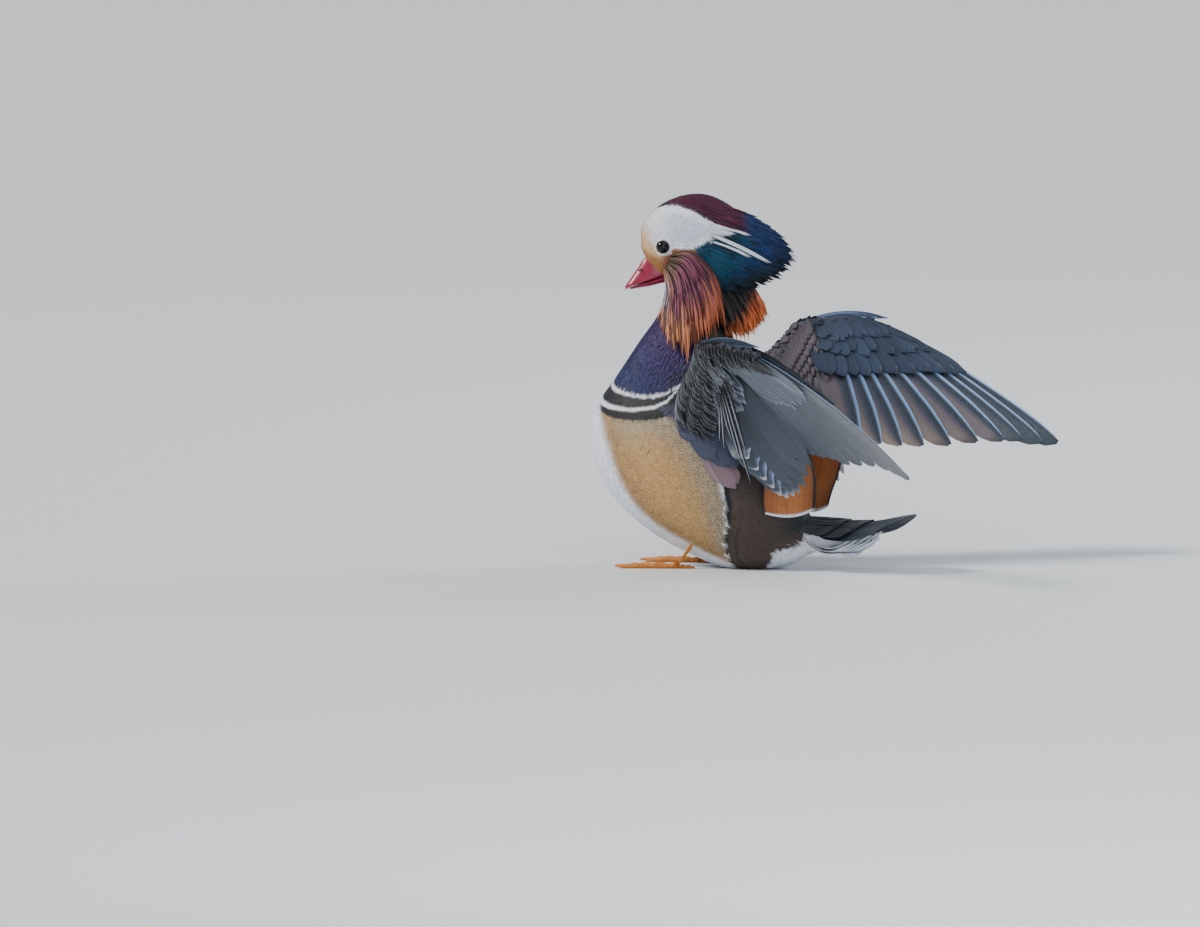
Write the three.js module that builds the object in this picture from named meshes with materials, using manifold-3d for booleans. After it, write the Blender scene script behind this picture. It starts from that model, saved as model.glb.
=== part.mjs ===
import * as THREE from 'three';
import * as BufferGeometryUtils from 'three/addons/utils/BufferGeometryUtils.js';
import Module from 'manifold-3d';

// Mandarin duck, drake, life size, rising on its belly with both wings half spread.
// Millimetres, +Z up, floor at z = 0, bill toward -Y, the bird's left toward +X.

// Clearances and thicknesses
const gap = 0.3; // between pieces that touch
const weld = 0.001; // points closer than this are one
const flightThick = 0.95; // flight feather at its shaft
const covertThick = 0.9; // covert at its shaft
const lockThick = 1.3; // lock of the crest or the ruff at its middle

// The belly's flat on the floor, whose middle is the origin of the finished model
const restY = 51;

// Where the body is parted into torso, neck and head
const neckFoot = { y: -20, z: 176, lean: 0.22 };
const neckTop = { y: -4, z: 226, lean: 0.1 };

// Stations from the neck to the rump: breast or belly point, back point (y, z) and half-width
const bodyStations = [
  { front: [-17, 244], back: [12, 244], half: 15 },
  { front: [-20, 220], back: [16, 222], half: 19 },
  { front: [-29, 199], back: [21, 205], half: 24 },
  { front: [-42, 181], back: [31, 190], half: 32 },
  { front: [-63, 150], back: [45, 168], half: 42 },
  { front: [-81, 124], back: [57, 147], half: 50 },
  { front: [-84, 100], back: [68, 125], half: 54 },
  { front: [-77, 73], back: [77, 103], half: 55 },
  { front: [-59, 48], back: [85, 83], half: 53 },
  { front: [-32, 26], back: [91, 67], half: 48 },
  { front: [6, 7], back: [95, 56], half: 40 },
  { front: [42, -4], back: [98, 49], half: 31 },
  { front: [78, 0], back: [99.5, 44], half: 21 },
  { front: [100, 12], back: [100, 41], half: 14 },
];
const bodyRings = 30;
const bodySides = 28;

// Scapular feathers over the side and the back behind each wing: shares of the way round from
// the belly to the back and of the way along from the neck to the rump
const scapulars = { seed: 51, count: 6, inner: 0.47, outerEnd: 0.93, from: 0.52, to: 0.74,
  lift: [-1, 3.5], width: [21, 19], thick: 0.9, tilt: 8 };

// Head: its centre, the way it faces, and stations forward of the centre
const headCentre = new THREE.Vector3(0, -9, 258);
const headTurn = THREE.MathUtils.degToRad(20);
const headStations = [
  { at: 32.5, top: 11, bottom: -1, half: 4 },
  { at: 30, top: 18, bottom: -8, half: 8.5 },
  { at: 24.5, top: 25.5, bottom: -19, half: 12 },
  { at: 16, top: 32.5, bottom: -28, half: 15 },
  { at: 5, top: 38, bottom: -34, half: 17.5 },
  { at: -8, top: 41.2, bottom: -38, half: 19.5 },
  { at: -20, top: 41, bottom: -40, half: 19.5 },
  { at: -33, top: 36, bottom: -34, half: 16.5 },
  { at: -45, top: 28, bottom: -27, half: 11.5 },
  { at: -55, top: 17, bottom: -19, half: 6 },
];
const headRings = 20;
const headSides = 24;

// Eye and its lid, in the head's frame (forward, up, to the side)
const eye = { forward: 14.2, up: -1.6, side: 11.6, radius: 5.6 };
const lid = { radius: 5, tube: 0.9, side: 14.6 };

// Bill stations: top and bottom (forward, up) and half-width, from inside the face to the tip
const upperBill = [
  { top: [25.5, -9], bottom: [13, -25.5], half: 6.6 },
  { top: [29.5, -12], bottom: [18, -27.2], half: 7.2 },
  { top: [34, -19], bottom: [25.5, -29.6], half: 7 },
  { top: [38.8, -26], bottom: [33.5, -32], half: 6.4 },
  { top: [42.6, -31.4], bottom: [40, -34.2], half: 5.2 },
  { top: [45, -34.6], bottom: [43.6, -36.8], half: 2.6 },
];
const lowerBill = [
  { top: [12, -26.6], bottom: [10, -30.4], half: 6 },
  { top: [18, -28.6], bottom: [16.5, -32], half: 6 },
  { top: [25.5, -31], bottom: [24.5, -34], half: 5.8 },
  { top: [33.5, -33.3], bottom: [32.8, -35.6], half: 5.2 },
  { top: [41, -35.7], bottom: [40.6, -37], half: 3 },
];
const nostril = { forward: 32.4, up: -21, side: 6.2, length: 2.6, height: 1.1, depth: 1.6 };

// Crest: where the locks start on the crown and where they end behind it (forward, up, side)
const crest = {
  rows: 10,
  starts: [[-6, 40, 4], [-22, 34, 11], [-27, 8, 17], [-24, -14, 18], [-18, -28, 16]],
  ends: [[-62, 20.5, 3], [-83, 4, 4], [-93, -13, 4], [-78, -30, 8], [-42, -42, 14]],
  width: 13,
  rise: 5,
};

// Ruff on each cheek: where the locks start and end, from the throat to the nape
const ruff = {
  locks: 11,
  seed: 33,
  starts: [[8, -16, 14.5], [8.5, -9, 15], [1, -6, 17], [-8, -6, 18], [-13, -12, 18.5]],
  ends: [[19, -65, 17], [9.5, -81, 32], [-6, -87, 38], [-24, -79, 37], [-40, -70, 30]],
  width: 8.5,
  flare: 3,
};

// Fringe of the nape, below the crest
const nape = {
  locks: 5,
  seed: 35,
  starts: [[-18, -26, 16], [-32, -31, 13], [-43, -29, 10], [-51, -26, 6]],
  ends: [[-38, -75, 25], [-50, -74, 18], [-60, -69, 12], [-67, -59, 6]],
  width: 9,
  flare: 3,
};

// Left wing, shoulder to hand: leading edge, trailing edge and thickness
const armStations = [
  { lead: [36, 2, 118], trail: [42, 34, 110], thick: 18 },
  { lead: [58, 8, 136], trail: [62, 44, 126], thick: 15 },
  { lead: [80, 20, 154], trail: [82, 52, 142], thick: 13 },
  { lead: [100, 36, 173], trail: [104, 58, 162], thick: 11 },
  { lead: [117, 46, 189], trail: [121, 64, 182], thick: 10 },
];
const handStations = [
  { lead: [114, 44, 187], trail: [114, 66, 180], thick: 9 },
  { lead: [122, 51, 190], trail: [121, 70, 183], thick: 9 },
  { lead: [138, 72, 190], trail: [133, 88, 183], thick: 7 },
  { lead: [152, 98, 187], trail: [145, 106, 182], thick: 5 },
  { lead: [156, 110, 184], trail: [152, 114, 181], thick: 2.5 },
];

// Flight feathers: curves of roots and tips, inner to outer, and the bow between them
const secondaries = {
  roots: [[62, 40, 130], [79, 47, 146], [91, 51, 157], [103, 55, 168], [115, 60, 180]],
  tips: [[66, 72, 94], [57, 87, 73], [49, 99, 61], [47, 110, 68], [51, 119, 87]],
  across: [[0.68, 0.24, 0.69], [-0.1, 0.92, 0.38]],
  bow: 5,
};
const primaries = {
  roots: [[124, 67, 184], [132, 77, 186], [141, 90, 186], [149, 104, 184]],
  tips: [[53, 124, 96], [89, 165, 94], [143, 218, 95], [184, 249, 92]],
  bow: 6,
};

// Alula: two short quills that lie along the leading edge of the hand
const alula = [
  { start: [122, 55, 188], middle: [142, 76, 197], end: [156, 113, 190], width: 9 },
  { start: [120, 58, 187], middle: [134, 76, 194], end: [145, 100, 191], width: 9 },
];
const alulaUp = [-0.6, 0.5, 0.6];

// Sail feather of the left side: root at the elbow, then pairs of edge points down to its foot
const sailStations = [
  { fore: [73, 46, 142], aft: [70, 50, 140], thick: 2.4 },
  { fore: [62, 64, 124], aft: [56, 80, 122], thick: 2 },
  { fore: [54, 78, 104], aft: [42, 112, 102], thick: 1.6 },
  { fore: [47, 79, 78], aft: [31, 116, 80], thick: 1.4 },
  { fore: [39, 75, 54], aft: [19, 112, 58], thick: 1.2 },
  { fore: [34, 76, 41], aft: [15, 109, 43], thick: 1 },
];

// Tail: stations of its fleshy root, then fans of quills and coverts
const tailStations = [
  { at: 100 + gap, bottom: 12.5, top: 41, half: 14 },
  { at: 112, bottom: 14, top: 41.5, half: 17 },
  { at: 126, bottom: 18, top: 41, half: 17 },
  { at: 138, bottom: 22, top: 38, half: 15 },
  { at: 149, bottom: 26, top: 35, half: 11 },
  { at: 157, bottom: 29.5, top: 32.5, half: 6 },
];
const tailQuills = {
  roots: [[-12, 108, 32], [-4, 112, 37], [4, 112, 37], [12, 108, 32]],
  tips: [[-31, 170, 37], [-9, 187, 46], [9, 187, 46], [31, 170, 37]],
  bow: -4,
};
const underTail = {
  roots: [[-13, 104, 24], [-5, 106, 20], [5, 106, 20], [13, 104, 24]],
  tips: [[-22, 146, 26], [-7, 158, 27], [7, 158, 27], [22, 146, 26]],
  bow: -9,
};

// Feet, tucked forward under the breast
const foot = {
  heel: [28, -2],
  toes: [[42, -46], [30, -54], [18, -45]],
  toeWide: 5,
  high: 5,
  webHigh: 1.6,
  hindToe: [24, 12],
};
const shank = { top: [27, 14, 24], bottom: [28, 0, 5], wide: 7, deep: 8 };

const wasm = await Module();
wasm.setup();

const point = (values) => new THREE.Vector3(...values);

// Repeatable small differences between like pieces
function seededDraw(seed) {
  let state = seed;
  return (spread) => {
    state = (state * 1664525 + 1013904223) % 4294967296;
    return (state / 4294967296 - 0.5) * 2 * spread;
  };
}

// A closed shell through rings of equal count; a ring of one point is a tip.
// Both faces of a thin shell are split along like diagonals, so that they never cross.
function loft(rings) {
  const positions = [];
  const faces = [];
  const starts = [];
  for (const ring of rings) {
    starts.push(positions.length / 3);
    for (const p of ring) {
      positions.push(p.x, p.y, p.z);
    }
  }
  for (let i = 0; i + 1 < rings.length; i += 1) {
    const [a, b] = [starts[i], starts[i + 1]];
    const [countA, countB] = [rings[i].length, rings[i + 1].length];
    const count = Math.max(countA, countB);
    for (let j = 0; j < count; j += 1) {
      const next = (j + 1) % count;
      const [from, to] = j < count / 2 ? [j, next] : [next, j];
      if (countB > 1) {
        faces.push(a + (from % countA), b + j, b + next);
      }
      if (countA > 1) {
        faces.push(a + j, b + (to % countB), a + next);
      }
    }
  }
  const last = rings.length - 1;
  for (let j = 1; j + 1 < rings[0].length; j += 1) {
    faces.push(starts[0], starts[0] + j, starts[0] + j + 1);
  }
  for (let j = 1; j + 1 < rings[last].length; j += 1) {
    faces.push(starts[last], starts[last] + j + 1, starts[last] + j);
  }
  return faceOut(positions, faces);
}

function volumeOf(positions, faces) {
  const corner = (i) => new THREE.Vector3().fromArray(positions, i * 3);
  let volume = 0;
  for (let i = 0; i < faces.length; i += 3) {
    volume += corner(faces[i]).dot(corner(faces[i + 1]).cross(corner(faces[i + 2])));
  }
  return volume / 6;
}

// An indexed geometry whose faces point out
function faceOut(positions, faces) {
  const geometry = new THREE.BufferGeometry();
  geometry.setAttribute('position', new THREE.Float32BufferAttribute(positions, 3));
  geometry.setIndex(volumeOf(positions, faces) < 0 ? [...faces].reverse() : faces);
  return geometry;
}

function solidOf(geometry) {
  const bare = geometry.clone();
  bare.deleteAttribute('normal');
  bare.deleteAttribute('uv');
  const merged = BufferGeometryUtils.mergeVertices(bare, weld);
  const faces = [];
  for (let i = 0; i < merged.index.count; i += 3) {
    const [a, b, c] = [0, 1, 2].map((k) => merged.index.getX(i + k));
    if (a !== b && b !== c && c !== a) {
      faces.push(a, b, c);
    }
  }
  return new wasm.Manifold(new wasm.Mesh({
    numProp: 3,
    vertProperties: new Float32Array(merged.attributes.position.array),
    triVerts: new Uint32Array(faces),
  }));
}

function joined(solids) {
  return solids.reduce((whole, solid) => whole.add(solid));
}

// Only the largest closed surface of a solid, without loose scraps or sealed hollows
function geometryOf(solid) {
  const welded = (piece) => {
    const { vertProperties, triVerts } = piece.getMesh();
    const geometry = new THREE.BufferGeometry();
    geometry.setAttribute('position', new THREE.BufferAttribute(vertProperties, 3));
    geometry.setIndex(Array.from(triVerts));
    return BufferGeometryUtils.mergeVertices(geometry, weld);
  };
  const pieces = solidOf(welded(solid)).decompose();
  const best = pieces.reduce((a, b) => (b.volume() > a.volume() ? b : a));
  const { attributes, index } = welded(best);
  return faceOut(Array.from(attributes.position.array), Array.from(index.array));
}

function mirrored(geometry) {
  const positions = Array.from(geometry.attributes.position.array);
  for (let i = 0; i < positions.length; i += 3) {
    positions[i] = -positions[i];
  }
  return faceOut(positions, Array.from(geometry.index.array));
}

// An ellipse between two edge points, with a half-thickness along a given direction
function ellipse(edgeA, edgeB, halfAcross, count) {
  const centre = edgeA.clone().add(edgeB).multiplyScalar(0.5);
  const half = edgeA.clone().sub(edgeB).multiplyScalar(0.5);
  return Array.from({ length: count }, (_, i) => {
    const angle = (i / count) * Math.PI * 2;
    return centre.clone()
      .addScaledVector(half, Math.cos(angle))
      .addScaledVector(halfAcross, Math.sin(angle));
  });
}

// Move two points apart by an amount at each end
function spread(a, b, amount) {
  const step = a.clone().sub(b).setLength(amount);
  return [a.clone().add(step), b.clone().sub(step)];
}

const bodyFront = new THREE.CatmullRomCurve3(
  bodyStations.map((s) => new THREE.Vector3(s.half, ...s.front)), false, 'centripetal');
const bodyBack = new THREE.CatmullRomCurve3(
  bodyStations.map((s) => new THREE.Vector3(s.half, ...s.back)), false, 'centripetal');

// Belly point, back point and half-width of the body at a share of its length
function bodyStation(share) {
  const [f, b] = [bodyFront.getPoint(share), bodyBack.getPoint(share)];
  return { front: new THREE.Vector3(0, f.y, f.z), back: new THREE.Vector3(0, b.y, b.z),
    half: (f.x + b.x) / 2 };
}

// Whole body with the neck, larger all round by the given amount
function bodyForm(grow) {
  const rings = [];
  for (let i = 0; i <= bodyRings; i += 1) {
    const { front, back, half } = bodyStation(i / bodyRings);
    const [edgeA, edgeB] = spread(front, back, grow || 1e-6);
    rings.push(ellipse(edgeA, edgeB, new THREE.Vector3(half + grow, 0, 0), bodySides));
  }
  return solidOf(loft(rings));
}

// The left side of the body as a surface: s runs from the belly to the back, t to the rump
function bodySurface(s, t, lift) {
  const step = 0.01;
  const skin = (round, share) => {
    const { front, back, half } = bodyStation(Math.min(1, share));
    return front.clone().add(back).multiplyScalar(0.5)
      .addScaledVector(front.clone().sub(back), Math.cos(round * Math.PI) / 2)
      .setX(half * Math.sin(round * Math.PI));
  };
  const along = skin(s, t + step).sub(skin(s, t - step)).normalize();
  const across = skin(s + step, t).sub(skin(s - step, t));
  across.addScaledVector(along, -across.dot(along)).normalize();
  const up = along.clone().cross(across).normalize();
  return { place: skin(s, t).addScaledVector(up, lift), along, across, up };
}

// A point given forward, up and to the left of the head's centre
function headPoint(forward, up, side) {
  return new THREE.Vector3(
    headCentre.x + forward * Math.sin(headTurn) + side * Math.cos(headTurn),
    headCentre.y - forward * Math.cos(headTurn) + side * Math.sin(headTurn),
    headCentre.z + up,
  );
}

const headSide = new THREE.Vector3(Math.cos(headTurn), Math.sin(headTurn), 0);

function headForm(grow) {
  const line = new THREE.CatmullRomCurve3(
    headStations.map((s) => new THREE.Vector3(s.at, s.top, s.bottom)), false, 'centripetal');
  const width = new THREE.CatmullRomCurve3(
    headStations.map((s) => new THREE.Vector3(s.at, s.half, 0)), false, 'centripetal');
  const rings = [];
  for (let i = 0; i <= headRings; i += 1) {
    const at = line.getPoint(i / headRings);
    const half = width.getPoint(i / headRings).y + grow;
    const end = i === 0 ? grow : 0;
    rings.push(ellipse(headPoint(at.x + end, at.y + grow, 0), headPoint(at.x + end, at.z - grow, 0),
      headSide.clone().multiplyScalar(half), headSides));
  }
  return solidOf(loft(rings));
}

// A large block above a leaning plane, for parting the body
function blockAbove(plane, offset) {
  const size = 600;
  const block = new THREE.BoxGeometry(size, size, size);
  block.translate(0, 0, size / 2 + offset);
  block.rotateX(plane.lean);
  block.translate(0, plane.y, plane.z);
  return solidOf(block);
}

function belowFloor() {
  const depth = 100;
  const block = new THREE.BoxGeometry(600, 600, depth);
  block.translate(0, 0, -depth / 2);
  return solidOf(block);
}

// A surface between two curves, bowed toward its upper side; s runs outward, t to the tips
function fanSurface(fan) {
  const roots = new THREE.CatmullRomCurve3(fan.roots.map(point));
  const tips = new THREE.CatmullRomCurve3(fan.tips.map(point));
  const step = 0.02;
  const flat = (s, t) => {
    const clamped = Math.min(1, Math.max(0, s));
    const base = roots.getPoint(clamped).lerp(tips.getPoint(clamped), t);
    if (s !== clamped) {
      const inside = clamped === 0 ? step : 1 - step;
      const near = roots.getPoint(inside).lerp(tips.getPoint(inside), t);
      base.add(base.clone().sub(near).multiplyScalar(Math.abs(s - clamped) / step));
    }
    return base;
  };
  const frame = (s, t) => {
    const along = flat(s, t + step).sub(flat(s, t - step)).normalize();
    const across = fan.across ? point(fan.across[0]).lerp(point(fan.across[1]), t)
      : flat(s + step, t).sub(flat(s - step, t));
    across.addScaledVector(along, -across.dot(along)).normalize();
    return { along, across, up: across.clone().cross(along).normalize() };
  };
  return (s, t, lift) => {
    const { along, across, up } = frame(s, t);
    const height = lift + fan.bow * 4 * t * (1 - t);
    return { place: flat(s, t).addScaledVector(up, height), along, across, up };
  };
}

// Stops along a vane: how far from root to tip, and the share of its width there
const vaneStops = [[0, 0.25], [0.25, 0.8], [0.6, 1], [0.86, 0.78], [0.96, 0.42], [1, 0]];
const covertStops = [[0, 0.4], [0.4, 0.9], [0.8, 0.85], [1, 0]];

// One tapered vane laid along a surface, thick at its shaft and thin at its edges
function vane(surface, spec) {
  const { s, from, to, lift, width, thick, tilt, outer, stops } = spec;
  const rings = stops.map(([share, wide]) => {
    const t = from + (to - from) * share;
    const { place, across, up } = surface(s, t, lift[0] + (lift[1] - lift[0]) * share);
    if (wide === 0) {
      return [place];
    }
    const over = across.clone().multiplyScalar(Math.cos(tilt)).addScaledVector(up, Math.sin(tilt));
    const out = up.clone().multiplyScalar(Math.cos(tilt)).addScaledVector(across, -Math.sin(tilt));
    const body = thick * (0.55 + 0.45 * (1 - share));
    return [
      place.clone().addScaledVector(over, width * wide * outer),
      place.clone().addScaledVector(out, body / 2),
      place.clone().addScaledVector(over, -width * wide * (1 - outer)),
      place.clone().addScaledVector(out, -body / 2),
    ];
  });
  return solidOf(loft(rings));
}

// A row of vanes across a surface, each a little different
function tier(surface, spec) {
  const draw = seededDraw(spec.seed);
  return Array.from({ length: spec.count }, (_, i) => {
    const s = spec.inner + (spec.outerEnd - spec.inner) * (i / (spec.count - 1));
    const [wideA, wideB] = spec.width;
    return vane(surface, {
      s: s + draw(0.006),
      from: spec.from,
      to: spec.to + draw(spec.ragged ?? 0),
      lift: spec.lift,
      width: wideA + (wideB - wideA) * s,
      thick: spec.thick,
      tilt: THREE.MathUtils.degToRad(spec.tilt),
      outer: spec.outer ?? 0.42,
      stops: spec.stops,
    });
  });
}

// A limb with an oval section between a leading and a trailing edge
function limbForm(stations, grow, count) {
  const lead = stations.map((s) => point(s.lead));
  const trail = stations.map((s) => point(s.trail));
  const rings = stations.map((station, i) => {
    const [before, after] = [Math.max(0, i - 1), Math.min(stations.length - 1, i + 1)];
    const span = lead[after].clone().add(trail[after]).sub(lead[before]).sub(trail[before]);
    const across = lead[i].clone().sub(trail[i]).cross(span).setLength(station.thick / 2 + grow);
    const [edgeA, edgeB] = spread(lead[i], trail[i], grow || 1e-6);
    const end = span.clone().setLength((after - before === 2 ? 0 : grow) * (i === 0 ? -1 : 1));
    return ellipse(edgeA.add(end), edgeB.add(end), across, count);
  });
  return solidOf(loft(rings));
}

function scapularFeathers(grow) {
  return tier(bodySurface, { ...scapulars, stops: vaneStops, thick: scapulars.thick + 2 * grow,
    width: scapulars.width.map((w) => w + 2 * grow) });
}

const armSurface = fanSurface(secondaries);
const handSurface = fanSurface(primaries);

function armFeathers(grow) {
  const more = 2 * grow;
  const row = (spec) => tier(armSurface, {
    ...spec,
    to: spec.to + more * 0.002,
    width: spec.width.map((w) => w + more),
    thick: spec.thick + more,
  });
  return [
    ...row({ seed: 3, count: 8, inner: 0, outerEnd: 0.96, from: 0, to: 1, lift: [0, 0],
      width: [20, 18], thick: flightThick, tilt: 8, stops: vaneStops }),
    ...row({ seed: 5, count: 7, inner: 0.04, outerEnd: 0.95, from: -0.03, to: 0.42,
      lift: [3, 5.4], width: [12, 12], thick: covertThick, tilt: 12, stops: covertStops }),
    ...row({ seed: 7, count: 6, inner: 0.06, outerEnd: 0.94, from: -0.06, to: 0.2,
      lift: [5, 8.6], width: [12, 12], thick: covertThick, tilt: 10, stops: covertStops }),
    ...row({ seed: 9, count: 6, inner: 0.04, outerEnd: 0.88, from: -0.03, to: 0.3,
      lift: [-3, -5.4], width: [12, 12], thick: covertThick, tilt: 12, stops: covertStops }),
  ];
}

function handFeathers() {
  return [
    ...tier(handSurface, { seed: 11, count: 10, inner: 0, outerEnd: 1, from: 0, to: 1,
      lift: [0, 0], width: [26, 19], thick: flightThick, tilt: 8, stops: vaneStops, outer: 0.3 }),
    ...tier(handSurface, { seed: 13, count: 8, inner: 0.06, outerEnd: 0.97, from: -0.02, to: 0.4,
      lift: [2.4, 4.6], width: [14, 10], thick: covertThick, tilt: 8, stops: covertStops }),
    ...tier(handSurface, { seed: 17, count: 7, inner: 0.08, outerEnd: 0.95, from: -0.02, to: 0.34,
      lift: [-2.2, -4.6], width: [14, 11], thick: covertThick, tilt: 8, stops: covertStops }),
    ...alula.map(({ start, middle, end, width }) => (
      lock(point(start), point(middle), point(end), point(alulaUp), width, covertThick))),
  ];
}

// A flat lock that starts on the skin, bends over a middle point and tapers to its tip
const lockStops = [[0, 0.4], [0.3, 0.75], [0.65, 1], [0.9, 0.7], [1, 0]];

function lock(start, middle, end, flatDirection, width, thick = lockThick) {
  const path = new THREE.QuadraticBezierCurve3(start, middle, end);
  const rings = lockStops.map(([share, wide]) => {
    const place = path.getPoint(share);
    if (wide === 0) {
      return [place];
    }
    const along = path.getTangent(share);
    const out = flatDirection.clone();
    out.addScaledVector(along, -out.dot(along)).normalize();
    const over = along.clone().cross(out);
    return [
      place.clone().addScaledVector(over, (width * wide) / 2),
      place.clone().addScaledVector(out, thick / 2),
      place.clone().addScaledVector(over, (-width * wide) / 2),
      place.clone().addScaledVector(out, -thick / 2),
    ];
  });
  return solidOf(loft(rings));
}

function crestLocks() {
  const draw = seededDraw(21);
  const starts = new THREE.CatmullRomCurve3(crest.starts.map(point));
  const ends = new THREE.CatmullRomCurve3(crest.ends.map(point));
  const locks = [];
  for (let i = 0; i < crest.rows; i += 1) {
    const share = i / (crest.rows - 1);
    const a = starts.getPoint(share);
    const b = ends.getPoint(share);
    for (const side of [1, -1]) {
      const start = headPoint(a.x, a.y - 1.5, side * (a.z - 1.5));
      const end = headPoint(b.x + draw(2), b.y + draw(1.5), side * b.z);
      const lift = crest.rise * (1 - share);
      const middle = headPoint((a.x + b.x) / 2, (a.y + b.y) / 2 + lift, side * ((a.z + b.z) / 2 + 4));
      const out = headSide.clone().multiplyScalar(side).setZ(0.9 * (1 - share) - 0.2);
      locks.push(lock(start, middle, end, out, crest.width + draw(1)));
    }
  }
  return locks;
}

// Hanging locks of the ruff or of the nape, on one side
function hangingLocks(spec, side) {
  const draw = seededDraw(spec.seed);
  const starts = new THREE.CatmullRomCurve3(spec.starts.map(point));
  const ends = new THREE.CatmullRomCurve3(spec.ends.map(point));
  return Array.from({ length: spec.locks }, (_, i) => {
    const share = i / (spec.locks - 1);
    const a = starts.getPoint(share);
    const b = ends.getPoint(share);
    const start = headPoint(a.x, a.y, side * (a.z - 2));
    const end = headPoint(b.x + draw(2), b.y + draw(3), side * (b.z + draw(1)));
    const middle = headPoint(a.x * 0.55 + b.x * 0.45, a.y * 0.5 + b.y * 0.5,
      side * (a.z * 0.5 + b.z * 0.5 + spec.flare));
    const out = headSide.clone().multiplyScalar(side).addScaledVector(
      new THREE.Vector3(-Math.sin(headTurn), Math.cos(headTurn), 0), share * 0.8 - 0.2);
    return lock(start, middle, end, out, spec.width);
  });
}

function eyeForm(side, grow) {
  const ball = new THREE.SphereGeometry(eye.radius + grow, 16, 12);
  const place = headPoint(eye.forward, eye.up, side * eye.side);
  ball.translate(place.x, place.y, place.z);
  return solidOf(ball);
}

function lidForm(side) {
  const ring = new THREE.TorusGeometry(lid.radius, lid.tube, 6, 18);
  ring.rotateY(Math.PI / 2);
  ring.rotateZ(headTurn + side * 0.12);
  const place = headPoint(eye.forward, eye.up, side * lid.side);
  ring.translate(place.x, place.y, place.z);
  return solidOf(ring);
}

// A mandible: domed on one side of the mouth line, nearly flat on the other
function mandible(stations, flatSide) {
  const flatness = 0.2;
  const sides = 14;
  return solidOf(loft(stations.map((station) => {
    const [top, bottom] = [headPoint(...station.top, 0), headPoint(...station.bottom, 0)];
    const base = flatSide > 0 ? top : bottom;
    const rise = flatSide > 0 ? bottom.clone().sub(top) : top.clone().sub(bottom);
    return Array.from({ length: sides }, (_, i) => {
      const angle = (i / sides) * Math.PI * 2;
      const height = Math.sin(angle) > 0 ? Math.sin(angle) : Math.sin(angle) * flatness;
      return base.clone().addScaledVector(rise, height * (1 - flatness) + flatness * 0.5)
        .addScaledVector(headSide, Math.cos(angle) * station.half);
    });
  })));
}

function nostrilForm(side) {
  const hole = new THREE.SphereGeometry(1, 8, 6);
  hole.scale(nostril.depth, nostril.length, nostril.height);
  hole.rotateX(0.9);
  hole.rotateZ(headTurn);
  const place = headPoint(nostril.forward, nostril.up, side * nostril.side);
  hole.translate(place.x, place.y, place.z);
  return solidOf(hole);
}

function tailForm() {
  const rings = tailStations.map((s) => ellipse(new THREE.Vector3(0, s.at, s.top),
    new THREE.Vector3(0, s.at, s.bottom), new THREE.Vector3(s.half, 0, 0), 16));
  return solidOf(loft(rings));
}

function tailFeathers() {
  const quills = fanSurface(tailQuills);
  const under = fanSurface(underTail);
  const half = (surface, spec) => [
    ...tier(surface, { ...spec, inner: 0.5 + 0.5 / spec.count, outerEnd: 1 }),
    ...tier(surface, { ...spec, inner: 0.5 - 0.5 / spec.count, outerEnd: 0, tilt: -spec.tilt,
      outer: 0.55 }),
  ];
  return [
    ...half(quills, { seed: 41, count: 6, from: 0, to: 1, lift: [0, 0], width: [16, 16],
      thick: flightThick, tilt: -14, stops: vaneStops, outer: 0.45 }),
    ...half(quills, { seed: 43, count: 3, from: -0.1, to: 0.5, lift: [2.6, 4.4], width: [14, 14],
      thick: covertThick, tilt: -10, stops: covertStops, outer: 0.45 }),
    ...half(under, { seed: 45, count: 4, from: 0, to: 1, lift: [0, 0], width: [14, 14],
      thick: covertThick, tilt: 12, stops: covertStops, outer: 0.45 }),
  ];
}

function sailForm() {
  const rings = sailStations.map((station) => {
    const [fore, aft] = [point(station.fore), point(station.aft)];
    const middle = fore.clone().lerp(aft, 0.55);
    const out = new THREE.Vector3(0.85, 0.5, 0.1).normalize();
    return [
      fore,
      middle.clone().addScaledVector(out, station.thick / 2 + 1.2),
      aft,
      middle.clone().addScaledVector(out, -station.thick / 2 + 1.2),
    ];
  });
  return solidOf(loft(rings));
}

function shankForm(grow) {
  const [top, bottom] = [point(shank.top), point(shank.bottom)];
  const across = new THREE.Vector3(shank.wide / 2 + grow, 0, 0);
  const deep = new THREE.Vector3(0, 0.35, 0.94).setLength(shank.deep / 2 + grow);
  const rings = [0, 0.5, 1].map((share) => {
    const centre = top.clone().lerp(bottom, share);
    return ellipse(centre.clone().add(deep), centre.clone().sub(deep), across, 10);
  });
  return solidOf(loft(rings));
}

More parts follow.
